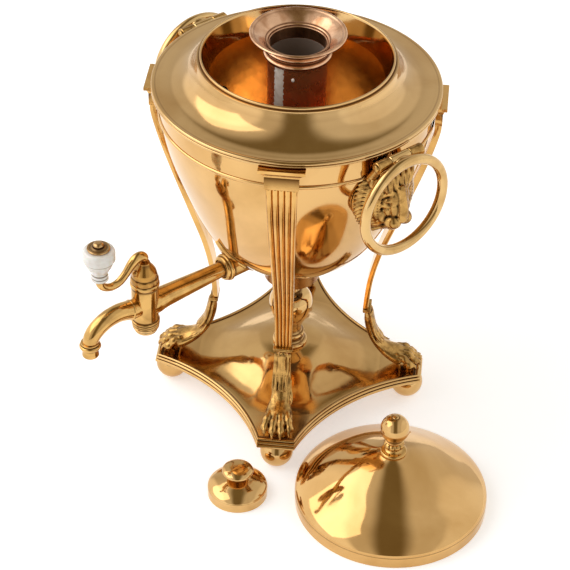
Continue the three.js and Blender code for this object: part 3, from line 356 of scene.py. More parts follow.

# Lion's paws: cast brass, chased with a furry ankle and four toes, each with a claw. They stand on
# the corners of the plinth, held by the stud of the foot below, and carry a leg on their collar.
# The spaces between the toes are darkened with painted shade.
sole = plate_top + gap
waist_radius = 62
waist_height = 94
leg_wide = 24
leg_thick = 5.6
chased_brass = polished_metal(
    "chased_cast_brass", "#c69a58", "#6f4b22", 6, 3.5, 0.1, 0.14, 0.32, groove_shade="#2a1705",
)


def lump(bm, place, size):
    """A rounded lump of modelling wax, with its half lengths in millimetres."""
    ball = bmesh.ops.create_uvsphere(bm, u_segments=24, v_segments=14, radius=1)
    shape = Matrix.Translation(place) @ Matrix.Diagonal((*size, 1))
    bmesh.ops.transform(bm, matrix=shape, verts=ball["verts"])


def strand(bm, pins, up=(0, 1, 0), sides=12, flat=1.0, blunt=0.12):
    """A strand of wax through pins of x, y, z and radius, with rounded ends. flat squashes it."""
    line = flow(pins, 5)
    last = len(line) - 1

    def place(i, j):
        middle = line[j].to_3d()
        way = (line[min(j + 1, last)] - line[max(j - 1, 0)]).to_3d().normalized()
        side = way.cross(Vector(up)).normalized()
        top = side.cross(way)
        inset = min(1, min(j, last - j) / last / blunt)
        radius = line[j][3] * math.sqrt(1 - (1 - inset) ** 2)
        a = 2 * math.pi * i / sides
        return middle + radius * (math.cos(a) * side + flat * math.sin(a) * top)

    wrap(bm, sides, last, place)


def fuse(bm, grain, rounds):
    """Melts overlapping wax into one skin with faces of that grain, and smooths it."""
    bmesh.ops.remove_doubles(bm, verts=bm.verts, dist=weld)
    bmesh.ops.recalc_face_normals(bm, faces=bm.faces)
    wax = into_scene("wax", into_mesh("wax", bm))
    skin = wax.modifiers.new("skin", "REMESH")
    skin.mode = "VOXEL"
    skin.voxel_size = grain
    cast = bmesh.new()
    cast.from_mesh(wax.evaluated_get(bpy.context.evaluated_depsgraph_get()).to_mesh())
    bpy.data.objects.remove(wax)
    for _ in range(rounds):
        bmesh.ops.smooth_vert(
            cast, verts=cast.verts, factor=0.5, use_axis_x=True, use_axis_y=True, use_axis_z=True,
        )
    return cast


def lion_paw():
    """One paw in the plane of its leg, with x outwards from the urn's axis."""
    bm = bmesh.new()
    strand(bm, [
        (65.8, 0, 91, 3.5), (67.6, 0, 74, 3.5), (72.6, 0, 60.5, 4), (81, 0, 50, 5), (88, 0, 45.4, 6.4),
        (94, 0, 42.8, 7.2), (99.5, 0, 40.4, 6.8),
    ], flat=1.65, sides=24)
    for toe in (-3, -1, 1, 3):
        y = toe * 3.4
        back = 3.8 if abs(toe) == 3 else 0
        strand(bm, [
            (91 - back, y * 0.5, 45.6, 2.2), (97 - back * 0.9, y * 0.7, 46, 3),
            (100.6 - back, y * 0.76, 45.7, 2.8), (103.8 - back, y * 0.86, 44.2, 3.6),
            (106.4 - back, y * 0.94, 41.4, 3.1), (108.4 - back, y, 39.2, 3.8), (109.4 - back, y, 36.2, 3.4),
        ], sides=16)
        strand(bm, [
            (109.4 - back, y, 41, 1.6), (112.6 - back, y, 38.6, 1.5), (113.8 - back, y, 36, 1),
            (114 - back, y, sole + 0.6, 0.6),
        ])
    # Locks of hair in two rows, the lower one starting between the upper one's.
    for hair in range(-4, 5):
        near = 0.1 * hair**2
        for row, start in enumerate((0, 0.42)):
            y = hair * 1.55 + 0.78 * row
            sway = 0.7 * math.sin(hair * 2.4 + row * 2)
            strand(bm, [
                (69.6 - near + 7.6 * start, y * (1 + start * 0.3), 90.5 - 60 * start, 0.9),
                (71.6 - near + 10 * start, y * (1 + start * 0.4) + sway, 78 - 46 * start, 1.15),
                (75.2 - near + 14 * start, y * (1.04 + start * 0.5) - sway, 66.6 - 32 * start, 1.2),
                (82.4 - near + 15 * start, y * (1.15 + start * 0.6), 57 - 18 * start, 0.45),
            ], sides=8)
    cast = fuse(bm, 0.45, 2)
    for vert in cast.verts:
        vert.co.z = max(vert.co.z, sole)
    # A collar of two bars, the upper one wider.
    for low_side, tall, over in ((90.3, 1.9, 0), (92.3, 1.7, 0.5)):
        bar = bmesh.ops.create_cube(cast, size=1)
        reach = leg_thick * 1.15 + over
        shape = Matrix.Translation((waist_radius - 0.2 + reach / 2, 0, low_side + tall / 2))
        shape = shape @ Matrix.Diagonal((reach, leg_wide * 0.64 + 2 * over, tall, 1))
        bmesh.ops.transform(cast, matrix=shape, verts=bar["verts"])
        around = list({edge for vert in bar["verts"] for edge in vert.link_edges})
        bmesh.ops.bevel(
            cast, geom=around, offset=0.6, segments=3, profile=0.5, affect="EDGES", material=-1,
        )
    return cast


paw = lion_paw()
for corner, turn in corners.items():
    mount(
        f"lion_paw_{corner}", paw.copy(), chased_brass, "cast_brass", "urn", [f"paw_{corner}"],
        turn=turn, edge=0, groove_shade=(30, 0.5 * mm),
    )
paw.free()

# Legs: four cast brass strips, each bent in an S from its paw up to the bowl. The front has five
# convex reeds, under a plain block and a flared capital. A screw from inside the bowl holds it.
bowl_top = 307.3
leg_back = 110.5
leg_foot = waist_height + gap
reed_valley = 0.62
# Cast and filed: bright lines on the crests of the reeds, brown painted shade in the valleys.
leg_brass = polished_metal(
    "polished_reeded_brass", "#dfb06a", "#bf8e4c", 22, 9, 0.08, 0.08, 0.2, groove_shade="#5e3a14",
)
# Stations up the leg: radius, height, width, thickness and how deep the reeds are cut. Those of the
# block, the capital and its flat top have no reeds.
leg_stations = flow([
    (62, leg_foot, 13.6, 4.4, 1), (62.2, 100, 14, 4.5, 1), (64.4, 124.1, 15.1, 4.6, 1),
    (70.2, 151.8, 16.6, 4.8, 1), (81.4, 185.9, 18.5, 5.1, 1), (93.5, 222.1, 20.6, 5.5, 1),
    (104.2, 256.2, 22.6, 5.6, 1), (leg_back, 282.8, 24, 5.6, 1), (leg_back, 287.6, 24, 5.6, 1),
], 10)
block_stations = [(287.8, 24.4, 5.4), (288.4, 26.4, 5.9), (299.4, 26.6, 5.9)]
capital_stations = flow([(299.6, 27, 6.2), (301.4, 28, 6.7), (303.2, 31, 7.7), (304.4, 34.6, 8.8)], 4)
abacus_stations = [(304.5, 36, 9.1), (bowl_top - 0.1, 36, 9.1)]
head_stations = [(leg_back, *s, 0) for s in (*block_stations, *capital_stations, *abacus_stations)]
stations = [*leg_stations, *head_stations]
# The section: shares of the width and of the thickness, with a half circle for each reed.
section = [(-0.5, 0), (0, 0), (0.5, 0), (0.5, reed_valley * 0.5)]
for reed in range(5):
    for i in range(11 if reed == 4 else 10):
        a = math.pi * i / 10
        aside = 0.4 - 0.2 * reed + 0.1 * math.cos(a)
        section.append((aside, reed_valley + (1 - reed_valley) * math.sin(a)))
section.append((-0.5, reed_valley * 0.5))


def leg_point(i, j):
    """Point i of the reeded section at station j, square to the leg's line."""
    radius, height, wide, thick, cut = stations[j]
    ahead = stations[min(j + 1, len(leg_stations) - 1)]
    behind = stations[min(j, len(leg_stations) - 2) - (j > 0)]
    way = Vector((ahead[0] - behind[0], ahead[1] - behind[1])).normalized()
    if j == 0 or j >= len(leg_stations) - 6:
        way = Vector((0, 1))
    across, deep = section[i]
    if deep >= reed_valley:
        deep = cut * deep + (1 - cut)
    return Vector((radius + way.y * deep * thick, across * wide, height - way.x * deep * thick))


for corner, turn in corners.items():
    bm = bmesh.new()
    wrap(bm, len(section), len(stations) - 1, leg_point)
    mount(
        f"reeded_leg_{corner}", bm, leg_brass, "brass", "urn", [f"leg_{corner}"],
        turn=turn, edge=0.25, crisp=48, groove_shade=(6, 0.3 * mm),
    )

# Stem: turned brass baluster between the dome of the plinth and the fire tube, with a thin neck
# under the tube. A bolt runs through it and holds all three together.
stem_foot = dome_top + gap
stem_height = 71.5
stem_radius = 18.4
# The outline, in shares of the radius and the height.
stem_shares = [
    *flow([(0.76, 0), (0.8, 0.01), (0.8, 0.023), (0.76, 0.034)], 3),
    *flow([(0.66, 0.046), (0.6, 0.076), (0.62, 0.103)], 4),
    *flow([(0.65, 0.11), (0.68, 0.133), (0.65, 0.156)], 5),
    *flow([(0.58, 0.164), (0.52, 0.198), (0.53, 0.244), (0.6, 0.297), (0.73, 0.362), (0.88, 0.442),
           (0.97, 0.518), (1, 0.587), (0.97, 0.648), (0.88, 0.7), (0.7, 0.74), (0.47, 0.765)], 5),
    *flow([(0.42, 0.78), (0.4, 0.84), (0.4, 0.9), (0.46, 0.95), (0.58, 0.985), (0.58, 1)], 4),
]
stem_line = [(r * stem_radius, h * stem_height) for r, h in stem_shares]
stem_line = [(bolt_hole, 0), *stem_line, (bolt_hole, stem_height)]
mount_turned("turned_stem", stem_line, turned_brass, "brass", "urn", ["stem"], 72, foot=stem_foot)

# Fire tube: a copper tube for burning charcoal, rolled from sheet and closed with a seam of soft
# solder. It hangs through the bowl, with draught holes in its floor and a ledge for the grate.
# Heat has turned the copper red and brown, and the inside is black with soot.
tube_bottom = stem_foot + stem_height + gap
fire_radius = 23.3
fire_inside = 22.1
ledge_inside = 20.9
bowl_bottom = tube_bottom + 17.7
tube_top = bowl_top + 30.8
floor_thick = 2


def heated_copper():
    """Old copper: red brown with darker clouds, bright only where rubbed, and soot inside."""
    finish, tree, shader = new_finish("heated_copper_sheet")
    spot = add(tree, "TexCoord").outputs["Object"]
    clouds = add(tree, "TexNoise", {"Vector": spot, "Scale": 1 / (18 * mm), "Detail": 6, "Roughness": 0.6})
    clouds = clouds.outputs[0]
    shade = add(tree, "MapRange", {0: clouds, 1: 0.35, 2: 0.7}).outputs[0]
    sheet = {0: shade, 6: colour("#eda266"), 7: colour("#b4683a")}
    tint = add(tree, "Mix", sheet, data_type="RGBA").outputs[2]
    height = add(tree, "SeparateXYZ", {0: spot}).outputs["Z"]
    below = {0: height, 1: (bowl_bottom + 2) * mm, 2: (bowl_bottom - 2) * mm}
    below = add(tree, "MapRange", below).outputs[0]
    tint = add(tree, "Mix", {0: below, 6: tint, 7: colour("#a06c34")}, data_type="RGBA").outputs[2]
    centred = add(tree, "Mapping", {"Vector": spot, "Location": -urn_axis, "Scale": (1, 1, 0)})
    reach = add(tree, "VectorMath", {0: centred.outputs[0]}, operation="LENGTH").outputs["Value"]
    inside = add(tree, "Math", {0: reach, 1: (fire_inside + gap) * mm}, operation="LESS_THAN").outputs[0]
    tint = add(tree, "Mix", {0: inside, 6: tint, 7: colour("#77675a")}, data_type="RGBA").outputs[2]
    bright = add(tree, "MapRange", {0: inside, 3: 0.85, 4: 0.1}).outputs[0]
    dull = add(tree, "MapRange", {0: clouds, 1: 0.3, 2: 0.7, 3: 0.16, 4: 0.36}).outputs[0]
    dull = add(tree, "MapRange", {0: inside, 3: dull, 4: 0.85}).outputs[0]
    dents = add(tree, "Bump", {"Height": clouds, "Distance": 0.25 * mm}).outputs[0]
    feed(tree, shader, {"Base Color": tint, "Metallic": bright, "Roughness": dull, "Normal": dents})
    return finish


copper = heated_copper()
bm = bmesh.new()
turn_on_lathe(bm, [
    (ledge_inside, tube_bottom + floor_thick), (ledge_inside, bowl_bottom), (fire_inside, bowl_bottom),
    (fire_inside, tube_top), (fire_radius, tube_top), (fire_radius, tube_bottom), (ledge_inside, tube_bottom),
], 72)
# The floor is one disc with a hole for the bolt and six draught holes.
disc = bmesh.new()
draught_circle = (ledge_inside + 6.4) / 2
rims = [((0, 0), ledge_inside + 0.1, 72), ((0, 0), bolt_hole, 24)]
for i in range(6):
    a = (i + 0.5) * math.pi / 3
    rims.append(((draught_circle * math.cos(a), draught_circle * math.sin(a)), 2.4, 20))
for (x, y), radius, segments in rims:
    spot = Matrix.Translation((x, y, tube_bottom))
    bmesh.ops.create_circle(disc, cap_ends=False, radius=radius, segments=segments, matrix=spot)
bmesh.ops.triangle_fill(disc, edges=disc.edges[:], use_beauty=True)
raised = bmesh.ops.extrude_face_region(disc, geom=disc.faces[:], use_keep_orig=True)
raised = [v for v in raised["geom"] if isinstance(v, bmesh.types.BMVert)]
bmesh.ops.translate(disc, verts=raised, vec=(0, 0, floor_thick))
floor_mesh = into_mesh("tube_floor", disc)
bm.from_mesh(floor_mesh)
bpy.data.meshes.remove(floor_mesh)
mount("copper_fire_tube", bm, copper, "copper", "urn", ["fire_tube"])

# The seam is a broad line of soft solder down the front of the tube, with a drop beside it. It is
# dull, so it looks white among the mirrors round it.
solder = polished_metal("soft_solder", "#f0e9df", "#cdbfae", 6, 3, 0.12, 0.4, 0.6, groove_shade=None)
solder.node_tree.nodes["Principled BSDF"].inputs["Metallic"].default_value = 0.3
seam_turn = math.radians(-78)
seam_low, seam_high = bowl_top - 25, tube_top - 2.2
seam_steps = 40
seam_section = [(-1, -0.4), (-1, 0.1), (-0.5, 0.3), (0, 0.35), (0.5, 0.3), (1, 0.1), (1, -0.4), (0, -0.4)]


def seam_point(i, j):
    """Point i of the seam's low rounded section in ring j."""
    across, lift = seam_section[i]
    sway = 0.02 * math.sin(j * 1.7) + 0.015 * math.sin(j * 3.1)
    a = seam_turn + sway + 0.19 * across
    radius = fire_radius + lift
    z = seam_low + (seam_high - seam_low) * j / seam_steps
    return Vector((radius * math.cos(a), radius * math.sin(a), z))


bm = bmesh.new()
wrap(bm, len(seam_section), seam_steps, seam_point)
drop_turn = math.radians(-48)
drop_spot = (fire_radius * math.cos(drop_turn), fire_radius * math.sin(drop_turn), bowl_top + 20)
lump(bm, drop_spot, (1.3, 1.3, 1.7))
mount("solder_seam", bm, solder, "copper", "urn", [], edge=0)

# Flare: a turned collar of pale, faded copper pushed over the end of the tube, with two beads
# below its rolled rim, a cone inside and a ring at the throat.
flare_foot = tube_top - gap - 1.7
flare_sleeve = fire_radius + gap
# Copper that heat has faded: a pale pink shine with duller brown patches.
flare_copper = polished_metal(
    "faded_copper", "#e2b48e", "#ab7850", 12, 8, 0.06, 0.1, 0.26, groove_shade="#6d3f24",
)
flare_line = [
    (flare_sleeve, 0), (25.4, 0), *flow([(25.4, 1), (26.6, 1.8), (27.3, 3.1), (26.6, 4.6), (25.3, 5.4)], 4),
    *flow([(25.1, 6.3), (25.9, 7), (27, 8.6), (27.1, 9.8), (26.2, 11), (25.2, 11.9)], 4),
    *flow([(25.3, 12.8), (26.4, 14.2), (29.2, 16.1), (33, 17.9), (36.2, 19.1)], 5),
    *flow([(37, 19.2), (37.9, 19.7), (38.1, 20.6), (37.5, 21.4), (36.4, 21.6), (35.5, 21.2)], 5),
    *flow([(35, 20.7), (32, 19.2), (28.6, 16.9), (25.6, 14.6)], 5),
    *flow([(25.2, 14.2), (24.4, 14.3), (23.5, 13.6), (23.4, 12.6)], 3),
    (22.3, 12), (22.3, 2.3), (flare_sleeve, 2.3),
]
mount_turned(
    "chimney_collar", flare_line, flare_copper, "flare_copper", "urn", ["chimney_flare"], 96, foot=flare_foot,
)

# Bowl: brass sheet spun over a former into a deep urn, open at the top and pierced in the bottom
# for the tube. A bead of half-round wire is soldered round it below the shoulder.
bowl_radius = 109.8
bowl_wall = 1.4
bowl_pins = [
    (fire_radius + gap, 139.1), (31.5, 142.3), (41.9, 147.2), (58, 160.6), (70.05, 175.1), (81, 196.6),
    (93, 227.4), (103, 257.7), (108.6, 285.1), (bowl_radius, bowl_top),
]
# Spun and buffed sheet: the clearest mirror of all, with the wide waves of the former.
spun_brass = polished_metal("spun_sheet_brass", "#dcb174", "#c4975a", 60, 30, 0.12, 0.05, 0.12)
# A brighter, redder copy of the sheet's brass for the inside: painted light in place of the light bouncing
# inside the bowl.
inner_brass_painted_bright = polished_metal(
    "unpolished_brass_painted_bright", "#f0bc76", "#d29a56", 26, 10, 0.16, 0.14, 0.26, groove_shade=None,
)


def inner_side(line, wall):
    """The line moved inwards by a wall's thickness, for the inner face of a sheet."""
    moved = []
    for i, (r, z) in enumerate(line):
        a, b = line[max(i - 1, 0)], line[min(i + 1, len(line) - 1)]
        way = Vector((b[0] - a[0], b[1] - a[1])).normalized()
        moved.append((r - way.y * wall, z + way.x * wall))
    return moved


bowl_line = [tuple(p) for p in flow(bowl_pins, 7)]
bowl_inner = [(fire_radius + gap, 139.1 + bowl_wall), *inner_side(bowl_line, bowl_wall)[2:-1]]
bowl_inner.append((bowl_radius - bowl_wall, bowl_top))
sheet_steps = 144
bowl_sheet = [*bowl_line, *reversed(bowl_inner)]
bowl = mount_turned("spun_bowl", bowl_sheet, spun_brass, "brass", "urn", ["bowl"], sheet_steps)
# The inside is rougher than the outside, as unpolished sheet, and its colour is painted brighter and redder,
# standing in for the warm light that bounces round inside the bowl.
bowl.data.materials.append(inner_brass_painted_bright)
for face in bowl.data.polygons:
    outward = face.center - urn_axis
    if face.normal.x * outward.x + face.normal.y * outward.y < 0:
        face.material_index = 1


def bowl_reach(z):
    """The bowl's outer radius at a height."""
    for (r0, z0), (r1, z1) in zip(bowl_line, bowl_line[1:]):
        if z <= z1:
            return r0 + (r1 - r0) * (z - z0) / (z1 - z0)
    return bowl_radius


bead_z = 286.6
bead_foot = bowl_reach(bead_z) + gap
bead_line = flow([(0, -1.7), (0.7, -1.25), (1.15, -0.5), (1.2, 0), (1.15, 0.5), (0.7, 1.25), (0, 1.7)], 3)
bead_line = [(bead_foot + r, z) for r, z in bead_line]
mount_turned(
    "soldered_bead", bead_line, spun_brass, "pale_brass", "urn", ["bowl_bead"], sheet_steps, foot=bead_z,
)

# Shoulder: one spun brass sheet that rests on the bowl's edge. It has two beads at its rim, a wide
# hollow cove, a ledge for the lid and a neck whose rim folds down inside into a slanting lip.
flange_under = bowl_top + gap
# The same sheet, rubbed more: a paler and more even mirror.
pale_brass = polished_metal("spun_pale_brass", "#dcb57c", "#c79c62", 55, 26, 0.08, 0.05, 0.13)
shoulder_line = [
    (107.9, flange_under),
    *flow([(114.1, 307.6), (114.9, 308.1), (115.1, 308.9), (114.8, 309.6), (114, 309.9)], 4),
    *flow([(113.9, 310.1), (114.8, 310.4), (115.1, 311.1), (114.8, 312), (113.9, 312.5), (112.6, 312.6)], 4),
    *flow([(112.2, 312.45), (108, 312.8), (99.1, 313.9), (91.5, 316.6), (85.6, 320.9), (81.6, 326.6),
           (79.7, 331.6), (79, 333.8)], 7),
    (79, 334.4), (76.9, 334.4), *flow([(76.9, 336), (76.7, 336.6), (76.1, 336.9), (75.4, 336.8)], 3),
    *flow([(75, 336.2), (73.4, 331.4), (71.2, 324.8), (69, 317.7)], 4), (70.6, 316.2), (75.4, 330.4),
    (78, 328.6), (82.3, 322), (89.5, 315.8), (98.8, 312.3), (107.9, 311.1),
]
mount_turned(
    "spun_shoulder", shoulder_line, pale_brass, "pale_brass", "urn", ["shoulder"], sheet_steps, crisp=40,
)

# Tap shield: a cast brass lozenge with bevelled edges, bent to the wall of the bowl, and a turned
# hub in its middle that the pipe goes through.
pipe_z = bowl_bottom + 21.7
shield_thick = 2.4
shield_line = flow([(0, 0.5), (0.1, 2.8), (0.2, 6.2), (0.32, 10.3), (0.42, 11.5), (0.54, 10.6), (0.68, 6.2),
                    (0.84, 3.2), (0.94, 1.6), (1, 0.4)], 5)
shield_low, shield_high = pipe_z - 17.5, pipe_z + 31
shield_section = [(-1, -1), (-0.4, -1), (0.4, -1), (1, -1), (1, 0.45), (0.8, 0.8), (0.62, 0.8), (0.5, 1),
                  (0, 1.05), (-0.5, 1), (-0.62, 0.8), (-0.8, 0.8), (-1, 0.45)]


def shield_point(i, j):
    """Point i of the shield's section in ring j, on the bowl's wall in front."""
    rise, half = shield_line[j]
    z = shield_low + rise * (shield_high - shield_low)
    across, front = shield_section[i]
    slope = (bowl_reach(z + 2) - bowl_reach(z - 2)) / 4
    lift = gap + front * shield_thick if front > 0 else gap
    out = lift / math.hypot(1, slope)
    a = across * half / bowl_reach(z)
    reach = bowl_reach(z) + out
    return Vector((reach * math.sin(a), -reach * math.cos(a), z - slope * out))


lie_down = Matrix.Rotation(math.pi / 2, 4, "X")
alongside = Matrix.Translation((0, 0, pipe_z)) @ lie_down
wall_front = bowl_reach(pipe_z)
hub_line = [
    (8.1, -14), (10.4, -14), (10.4, 8.5),
    *flow([(10.6, 10.6), (11.3, 11.2), (11.5, 12.3), (11.3, 13.4), (10.7, 14)], 4),
    *flow([(10.3, 14.5), (10.2, 15.6), (9.5, 16.6), (8.6, 17)], 3), (8.1, 17),
]
# Cast, filed and buffed: short waves, a browner and duller skin than the sheet, and painted shade in its
# grooves.
cast_brass = polished_metal(
    "polished_tap_brass", "#d8ab66", "#a98048", 14, 7, 0.08, 0.07, 0.18, groove_shade="#5a3410",
)
bm = bmesh.new()
wrap(bm, len(shield_section), len(shield_line) - 1, shield_point)
turn_on_lathe(bm, hub_line, 56, alongside, wall_front)
# What lies behind the bowl's wall is cut away, so that the hub ends on the wall.
for vert in bm.verts:
    reach = math.hypot(vert.co.x, vert.co.y)
    least = bowl_reach(vert.co.z) + gap
    if reach < least:
        vert.co.x *= least / reach
        vert.co.y *= least / reach
mount("lozenge_shield", bm, cast_brass, "brass", "urn", ["tap_shield"], edge=0.2)

# Tap body: pipe, cock and curved spout cast in one and turned where they can be. The pipe widens
# like a cone towards the cock, and the spout ends in a bead and a short straight mouth.
tap_reach = 151.5
barrel_top, barrel_low = pipe_z + 24.3, pipe_z - 18.7
tap_axis = Matrix.Translation((0, -tap_reach, 0))
pipe_line = [
    (2.7, wall_front - 9), (7.8, wall_front - 9), (7.8, wall_front + 16), (6.5, wall_front + 16.8),
    (6.4, wall_front + 18), *flow([(8.9, 132.3), (9.5, 137.4), (10.3, 141.9), (10.5, 146)], 4),
    (10.5, tap_reach), (2.7, tap_reach),
]
barrel_line = [
    (7.6, 0), (10.4, 0), *flow([(10.5, 0.2), (11, 0.5), (11.1, 1.2), (10.7, 1.8)], 3),
    *flow([(10.6, 2.1), (11.3, 2.5), (11.3, 3.4), (10.8, 3.9)], 3),
    *flow([(10.8, 4.2), (11.4, 4.7), (11.4, 5.5), (10.7, 6.1)], 3),
    *flow([(10.5, 6.6), (10.6, 12), (10.9, 20), (11, 30), (10.9, 38.4)], 4),
    *flow([(10.9, 38.7), (11.4, 39.2), (11.8, 40.4), (11.8, 42.2), (11.3, 43)], 4), (7.6, 43),
]
mouth_z = pipe_z - 24.2
spout_reach = 53.9
spout_pins = [(0, 0.5, 6), (7.5, 1, 7.6), (12, 1.8, 8), (15.1, 2.2, 8), (22, 4, 7.6), (28, 4.6, 7.3),
              (37.7, 3.2, 7.1), (46.9, -1.4, 6.9), (52, -7, 6.6), (spout_reach, -13.2, 6.3)]
mouth_line = [
    (4.3, 1.5), (4.5, 0), (6.1, 0), *flow([(6.5, 0.3), (6.7, 1), (6.5, 3.5), (6.3, 7.4)], 4),
    *flow([(6.5, 7.7), (7.9, 8.2), (8.6, 9.4), (8.4, 10.9), (7.5, 11.7)], 5),
    *flow([(7.2, 12), (7.5, 12.7), (7.3, 13.5)], 3), (4.3, 13.5),
]


def bend_tube(bm, pins, sides):
    """A round tube in the tap's middle plane, through pins of reach, height and radius."""
    line = flow(pins, 6)
    last = len(line) - 1

    def place(i, j):
        reach, height, radius = line[j]
        ahead, behind = line[min(j + 1, last)], line[max(j - 1, 0)]
        way = Vector((ahead[0] - behind[0], ahead[1] - behind[1])).normalized()
        a = 2 * math.pi * i / sides
        out = radius * math.cos(a)
        return Vector((radius * math.sin(a), -(reach - way.y * out), height + way.x * out))

    wrap(bm, sides, last, place)


bm = bmesh.new()
turn_on_lathe(bm, pipe_line, 48, alongside)
turn_on_lathe(bm, barrel_line, 72, tap_axis, barrel_low)
bend_tube(bm, [(tap_reach + out, pipe_z + rise, radius) for out, rise, radius in spout_pins], 40)
collar_lean = Matrix.Rotation(math.radians(76), 4, "X")
collar_lean = Matrix.Translation((0, -tap_reach - 15.2, pipe_z + 2.2)) @ collar_lean
spout_collar = [(6, -1.2), *flow([(7.9, -1.2), (8.3, -0.7), (8.45, 0), (8.3, 0.7), (7.9, 1.2)], 4), (6, 1.2)]
turn_on_lathe(bm, spout_collar, 40, collar_lean)
spout_end = Matrix.Translation((0, -tap_reach - spout_reach, 0))
turn_on_lathe(bm, mouth_line, 48, spout_end, mouth_z)
mount("tap_cock", bm, cast_brass, "brass", "urn", ["tap_body"], edge=0.15)

# Tap plug: a tapered brass plug ground into the cock, with a turned head that heat and grease have
# tarnished brown. Below the cock its end is threaded for a washer and a nut, which hold it down and
# turn with it.
head_foot = barrel_top + gap
washer_top = barrel_low - gap
nut_top = washer_top - 2.2 - gap
# The head's outline, up from the cock.
head_line = [
    *flow([(11.1, 0), (11.4, 0.6), (11.3, 3)], 3), *flow([(11.1, 4), (10.7, 4.7), (10.3, 5)], 3),
    *flow([(10.4, 5.5), (10.1, 8), (9.2, 10.8), (7.7, 13.4), (6, 15.6), (5, 17.2), (4.6, 18.5)], 5),
    (2.7, 18.6), (2.7, 12), (0, 12),
]
plug_line = [
    (0, nut_top - 5), (3.2, nut_top - 5), (3.5, nut_top - 4.6), (3.5, barrel_low + gap),
    (7.42, barrel_low + gap), (7.42, head_foot), *((r, head_foot + z) for r, z in head_line),
]
tarnished_brass = polished_metal(
    "heat_tarnished_brass", "#bd8c48", "#4e2b24", 11, 5, 0.08, 0.1, 0.26, groove_shade="#2f1a10",
)
bm = bmesh.new()
turn_on_lathe(bm, plug_line, 64, tap_axis)
lump(bm, (0, -tap_reach - 8.6, head_foot + 11), (2.6, 2.8, 2.8))
mount("turned_plug", bm, tarnished_brass, "brass", "tap_key", ["tap_plug"], edge=0.15)
washer_line = [(3.8, -2.2), (10.2, -2.2), (10.8, -1.4), (10.8, -0.4), (10.4, 0), (3.8, 0)]
mount_turned(
    "washer_under_cock", washer_line, turned_brass, "brass", "tap_key", ["plug_washer"],
    56, tap_axis, washer_top, edge=0.1,
)
nut_line = [(3.8, -3.4), (8.3, -3.4), *flow([(8.8, -3.1), (9.4, -1.7), (8.9, -0.4)], 3), (8.4, 0), (3.8, 0)]
mount_turned(
    "nut_under_cock", nut_line, turned_brass, "brass", "tap_key", ["plug_nut"],
    56, tap_axis, nut_top, edge=0.1,
)

# Lever: a forged brass rod, bent in an S and filed smooth. It is pegged into the plug's head and
# goes up through the porcelain knob, where its end is riveted over the cap.
head_top = head_foot + 18.6
lever_reach = 42.1
knob_foot = head_top + 1.9 + 2 * gap
knob_height = 29.2
knob_top = knob_foot + knob_height
lever_pins = [(0, -5, 2.4), (0, 1, 3.2), (0.6, 4.2, 4.1), (3, 6.4, 4.3), (7.4, 6.2, 4.2), (11.8, 3.2, 3.9),
              (17.7, -3.4, 3.4), (23.6, -8.3, 3.3), (30.3, -9.9, 3.2), (36.2, -8.2, 3.3), (40.6, -4.4, 3.5),
              (lever_reach, 0, 3.7), (lever_reach, 1.9, 3.7)]
bm = bmesh.new()
bend_tube(bm, [(tap_reach + out, head_top + rise, radius) for out, rise, radius in lever_pins], 28)
knob_axis = Matrix.Translation((0, -tap_reach - lever_reach, 0))
rod_low, rod_high = knob_foot - 3, knob_top + 1.6
turn_on_lathe(bm, [(0, rod_low), (2.2, rod_low), (2.2, rod_high), (0, rod_high)], 24, knob_axis)
mount("bent_lever", bm, cast_brass, "brass", "tap_key", ["tap_lever"], edge=0.15)


def glazed_porcelain():
    """White hard porcelain under a clear glaze: a glossy coat over a body that is barely warm."""
    finish, tree, shader = new_finish("glazed_porcelain")
    spot = add(tree, "TexCoord").outputs["Object"]
    body = add(tree, "TexNoise", {"Vector": spot, "Scale": 1 / (9 * mm), "Detail": 5, "Roughness": 0.6})
    body = body.outputs[0]
    shade = add(tree, "MapRange", {0: body, 1: 0.4, 2: 0.8}).outputs[0]
    white = {0: shade, 6: colour("#f2eee8"), 7: colour("#ddd3c6")}
    tint = add(tree, "Mix", white, data_type="RGBA").outputs[2]
    # Painted shade: the knob's grooves turn grey brown with their depth.
    depth = add(tree, "Attribute", attribute_name="hollow").outputs["Fac"]
    tint = add(tree, "Mix", {0: depth, 6: tint, 7: colour("#8f7c66")}, data_type="RGBA").outputs[2]
    soft = add(tree, "MapRange", {0: body, 3: 0.12, 4: 0.3}).outputs[0]
    feed(tree, shader, {
        "Base Color": tint, "Roughness": soft, "IOR": 1.52, "Coat Weight": 0.7, "Coat Roughness": 0.04,
        "Subsurface Weight": 0.08, "Subsurface Scale": 2 * mm,
    })
    return finish


knob_line = [
    (2.5, 0), *flow([(6, 0), (6.7, 0.5), (6.9, 1.4), (6.6, 2.3), (6.1, 2.7)], 3),
    *flow([(6.1, 3), (6.6, 3.4), (6.8, 4.3), (6.5, 5.2), (6, 5.6)], 3),
    *flow([(6, 5.9), (6.4, 6.8), (7.2, 8.6), (8.5, 10.9), (10.2, 14.2), (11.2, 17), (11.7, 18.7)], 4),
    *flow([(12.1, 19.2), (12.7, 19.7), (12.8, 20.6), (12.8, 23.4), (12.8, 26), (12.3, 27.7), (11.2, 28.8),
           (9.4, 29.2)], 4),
    (2.5, 29.2),
]
mount_turned(
    "porcelain_knob", knob_line, glazed_porcelain(), "porcelain", "tap_key", ["lever_knob"],
    64, knob_axis, knob_foot, edge=0.2,
)
knob_cap_line = [
    (2.5, 0), *flow([(8.4, 0), (9, 0.3), (9.1, 0.9), (8.7, 1.5), (8, 1.6)], 4),
    *flow([(7.6, 1.5), (6.4, 1.5), (5, 2), (4.2, 2.6)], 4),
    *flow([(4, 2.9), (4.1, 3.9), (3.5, 4.9), (2.2, 5.5), (0, 5.6)], 4), (0, 1.9), (2.5, 1.9),
]
